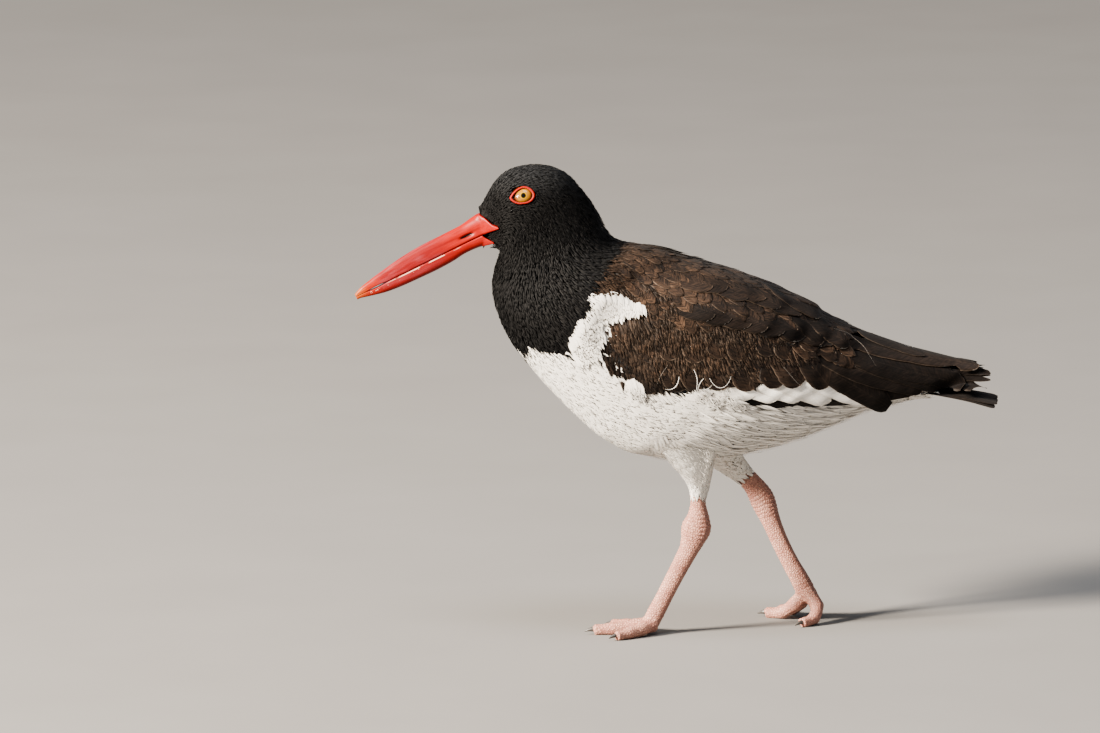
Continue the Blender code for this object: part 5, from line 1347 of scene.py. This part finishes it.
leg_finish = Finish("leg_finish", Roughness=0.55, Specular_IOR_Level=0.4, Subsurface_Weight=0.12,
                    Subsurface_Scale=0.0015, Subsurface_Radius=(1.0, 0.4, 0.3))
where = leg_finish.where()
back_shade_share = leg_finish.layer("leg")[1]
cells = leg_finish.node("ShaderNodeTexVoronoi", {"Vector": where, "Scale": 720.0, "Randomness": 0.85},
                        "Distance", feature="DISTANCE_TO_EDGE")
seams = cells.between(0.02, 0.26)
colour = leg_finish.speckle(where, 130.0, 4.0).between(0.3, 0.7).blend((0.36, 0.155, 0.108, 1),
                                                                       (0.50, 0.255, 0.18, 1))
# The back of each leg, away from the key light, is painted darker: painted shade.
colour = (back_shade_share * 0.7).blend(colour, (0.26, 0.115, 0.085, 1))
colour = seams.between(0.0, 1.0, 0.75, 0.0).blend(colour, (0.21, 0.08, 0.058, 1))
leg_finish.feed(Base_Color=colour, Normal=leg_finish.bump(seams, 0.0004, 0.7))


def ball_at(middle, radius):
    """A closed ball."""
    turn, tilt = np.meshgrid(np.linspace(0, 2 * math.pi, 16, endpoint=False),
                             np.linspace(0.02, math.pi - 0.02, 12))
    return closed_rings(np.array(middle) + radius * np.stack(
        [np.sin(tilt) * np.cos(turn), np.sin(tilt) * np.sin(turn), np.cos(tilt)], -1))


def even_out(obj, voxel, passes):
    """Puts one even, smoothed skin over all that an object's mesh holds, in place of that mesh."""
    whole = obj.modifiers.new("whole", "REMESH")
    whole.mode, whole.voxel_size, whole.use_smooth_shade = "VOXEL", voxel, True
    even = obj.modifiers.new("even", "SMOOTH")
    even.iterations, even.factor = passes, 0.5
    graph = bpy.context.evaluated_depsgraph_get()
    graph.update()
    mesh = bpy.data.meshes.new_from_object(obj.evaluated_get(graph))
    obj.modifiers.clear()
    obj.data = mesh


def each_vertex(mesh, what):
    """A mesh's places or normals, one row each."""
    values = np.empty(len(mesh.vertices) * 3, np.float32)
    mesh.vertices.foreach_get(what, values)
    return values.reshape(-1, 3)


for side, label in SIDES:
    nodes = [f"shank_{label}", f"tarsus_{label}", f"foot_{label}"]
    points, faces = [], []
    for name in nodes:
        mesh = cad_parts[name].data
        first = len(points)
        points += [v.co.copy() for v in mesh.vertices]
        faces += [[first + i for i in face.vertices] for face in mesh.polygons]
    solids = [ball_at(*ANKLE_FILL[side]), shins[side]]
    for toe in TOES:
        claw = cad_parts[f"claw_{label}_{toe}"].data
        spots = np.array([v.co[:] for v in claw.vertices]) / MM
        away = np.linalg.norm(spots - np.array(ANKLES[side]), axis=1)
        solids.append(ball_at(spots[away < away.min() + CLAW_BASE].mean(0), TOE_END_RADIUS))
    for spots, quads in solids:
        first = len(points)
        points += [Vector(spot) * MM for spot in spots]
        faces += [[first + int(i) for i in quad] for quad in quads]
    mesh = bpy.data.meshes.new(f"leg_{label}")
    mesh.from_pydata(points, [], faces)
    mesh.materials.append(leg_finish.material)
    piece = put(f"leg_{label}", mesh)
    swell = piece.modifiers.new("swell", "DISPLACE")
    swell.strength, swell.mid_level = SWELL, 0.0
    even_out(piece, LEG_VOXEL, LEG_PASSES)
    mesh = piece.data
    co = each_vertex(mesh, "co").astype(float) / MM
    normal = each_vertex(mesh, "normal")
    line = np.array(LEG_LINES[side])
    seg = np.diff(line, axis=0)
    long = np.linalg.norm(seg, axis=1)
    best, run = np.full(len(co), 1e9), np.zeros(len(co))
    for k in range(len(seg)):
        f = np.clip(((co - line[k]) @ seg[k]) / long[k] ** 2, 0, 1)
        gap = np.linalg.norm(co - line[k] - f[:, None] * seg[k], axis=1)
        near = gap < best
        best = np.where(near, gap, best)
        run = np.where(near, long[:k].sum() + f * long[k], run)
    hock = np.linalg.norm(co - line[HOCK], axis=1)
    ankle = np.linalg.norm(co - ANKLES[side], axis=1)
    folds = np.sin(run * 2.7 + 0.5 * np.sin(co[:, 1] * 1.1) + 0.7 * np.sin(co[:, 0] * 0.9))
    fold_depth = (np.exp(-(hock / HOCK_FOLDS[0]) ** 2) * HOCK_FOLDS[1]
                  + np.exp(-((ankle - 2) / ANKLE_FOLDS[0]) ** 2) * ANKLE_FOLDS[1])
    toe = (np.clip((ankle - SCUTES_FROM) / 4, 0, 1) * (co[:, 2] < SCUTES_BELOW)
           * np.clip(normal[:, 2] + 0.3, 0, 1))
    scutes = np.abs(np.sin(ankle * SCUTE_RATE)) ** 0.5 - 0.6
    co = co + normal * (fold_depth * folds + toe * SCUTE_DEPTH * scutes)[:, None]
    co[:, 2] = np.maximum(co[:, 2], 0.0)
    mesh.vertices.foreach_set("co", (co * MM).astype(np.float32).ravel())
    middle_x = np.interp(run, np.concatenate([[0], np.cumsum(long)]), line[:, 0])
    # How far a place lies on the back of the leg, which the finish paints darker as shade; the toes are left
    # out.
    behind = np.clip((co[:, 0] - middle_x) / 5.0, 0, 1) * (toe < 0.2)
    layer = mesh.attributes.new("leg", "FLOAT_VECTOR", "POINT")
    layer.data.foreach_set("vector", np.stack([run, behind, toe], -1).astype(np.float32).ravel())
    mesh.update()
    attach(piece, "root")
    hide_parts(*nodes)

# Claws: short blunt black nails, one at the end of each toe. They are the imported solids, rounded
# and smoothed, with a streaky horn finish.
CLAW_VOXEL, CLAW_PASSES = 0.0002, 4

claw_finish = Finish("claw_finish", Roughness=0.4, Specular_IOR_Level=0.5)
streaks = claw_finish.speckle(claw_finish.where(), 900.0, 3.0)
claw_finish.feed(Base_Color=streaks.blend((0.012, 0.010, 0.009, 1), (0.06, 0.05, 0.042, 1)),
                 Roughness=streaks.between(0.3, 0.7, 0.3, 0.5))
for side, label in SIDES:
    for toe in TOES:
        node = f"claw_{label}_{toe}"
        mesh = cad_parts[node].data.copy()
        mesh.name = f"nail_{label}_{toe}"
        mesh.materials.clear()
        mesh.materials.append(claw_finish.material)
        piece = put(f"nail_{label}_{toe}", mesh)
        even_out(piece, CLAW_VOXEL, CLAW_PASSES)
        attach(piece, "root")
        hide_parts(node)
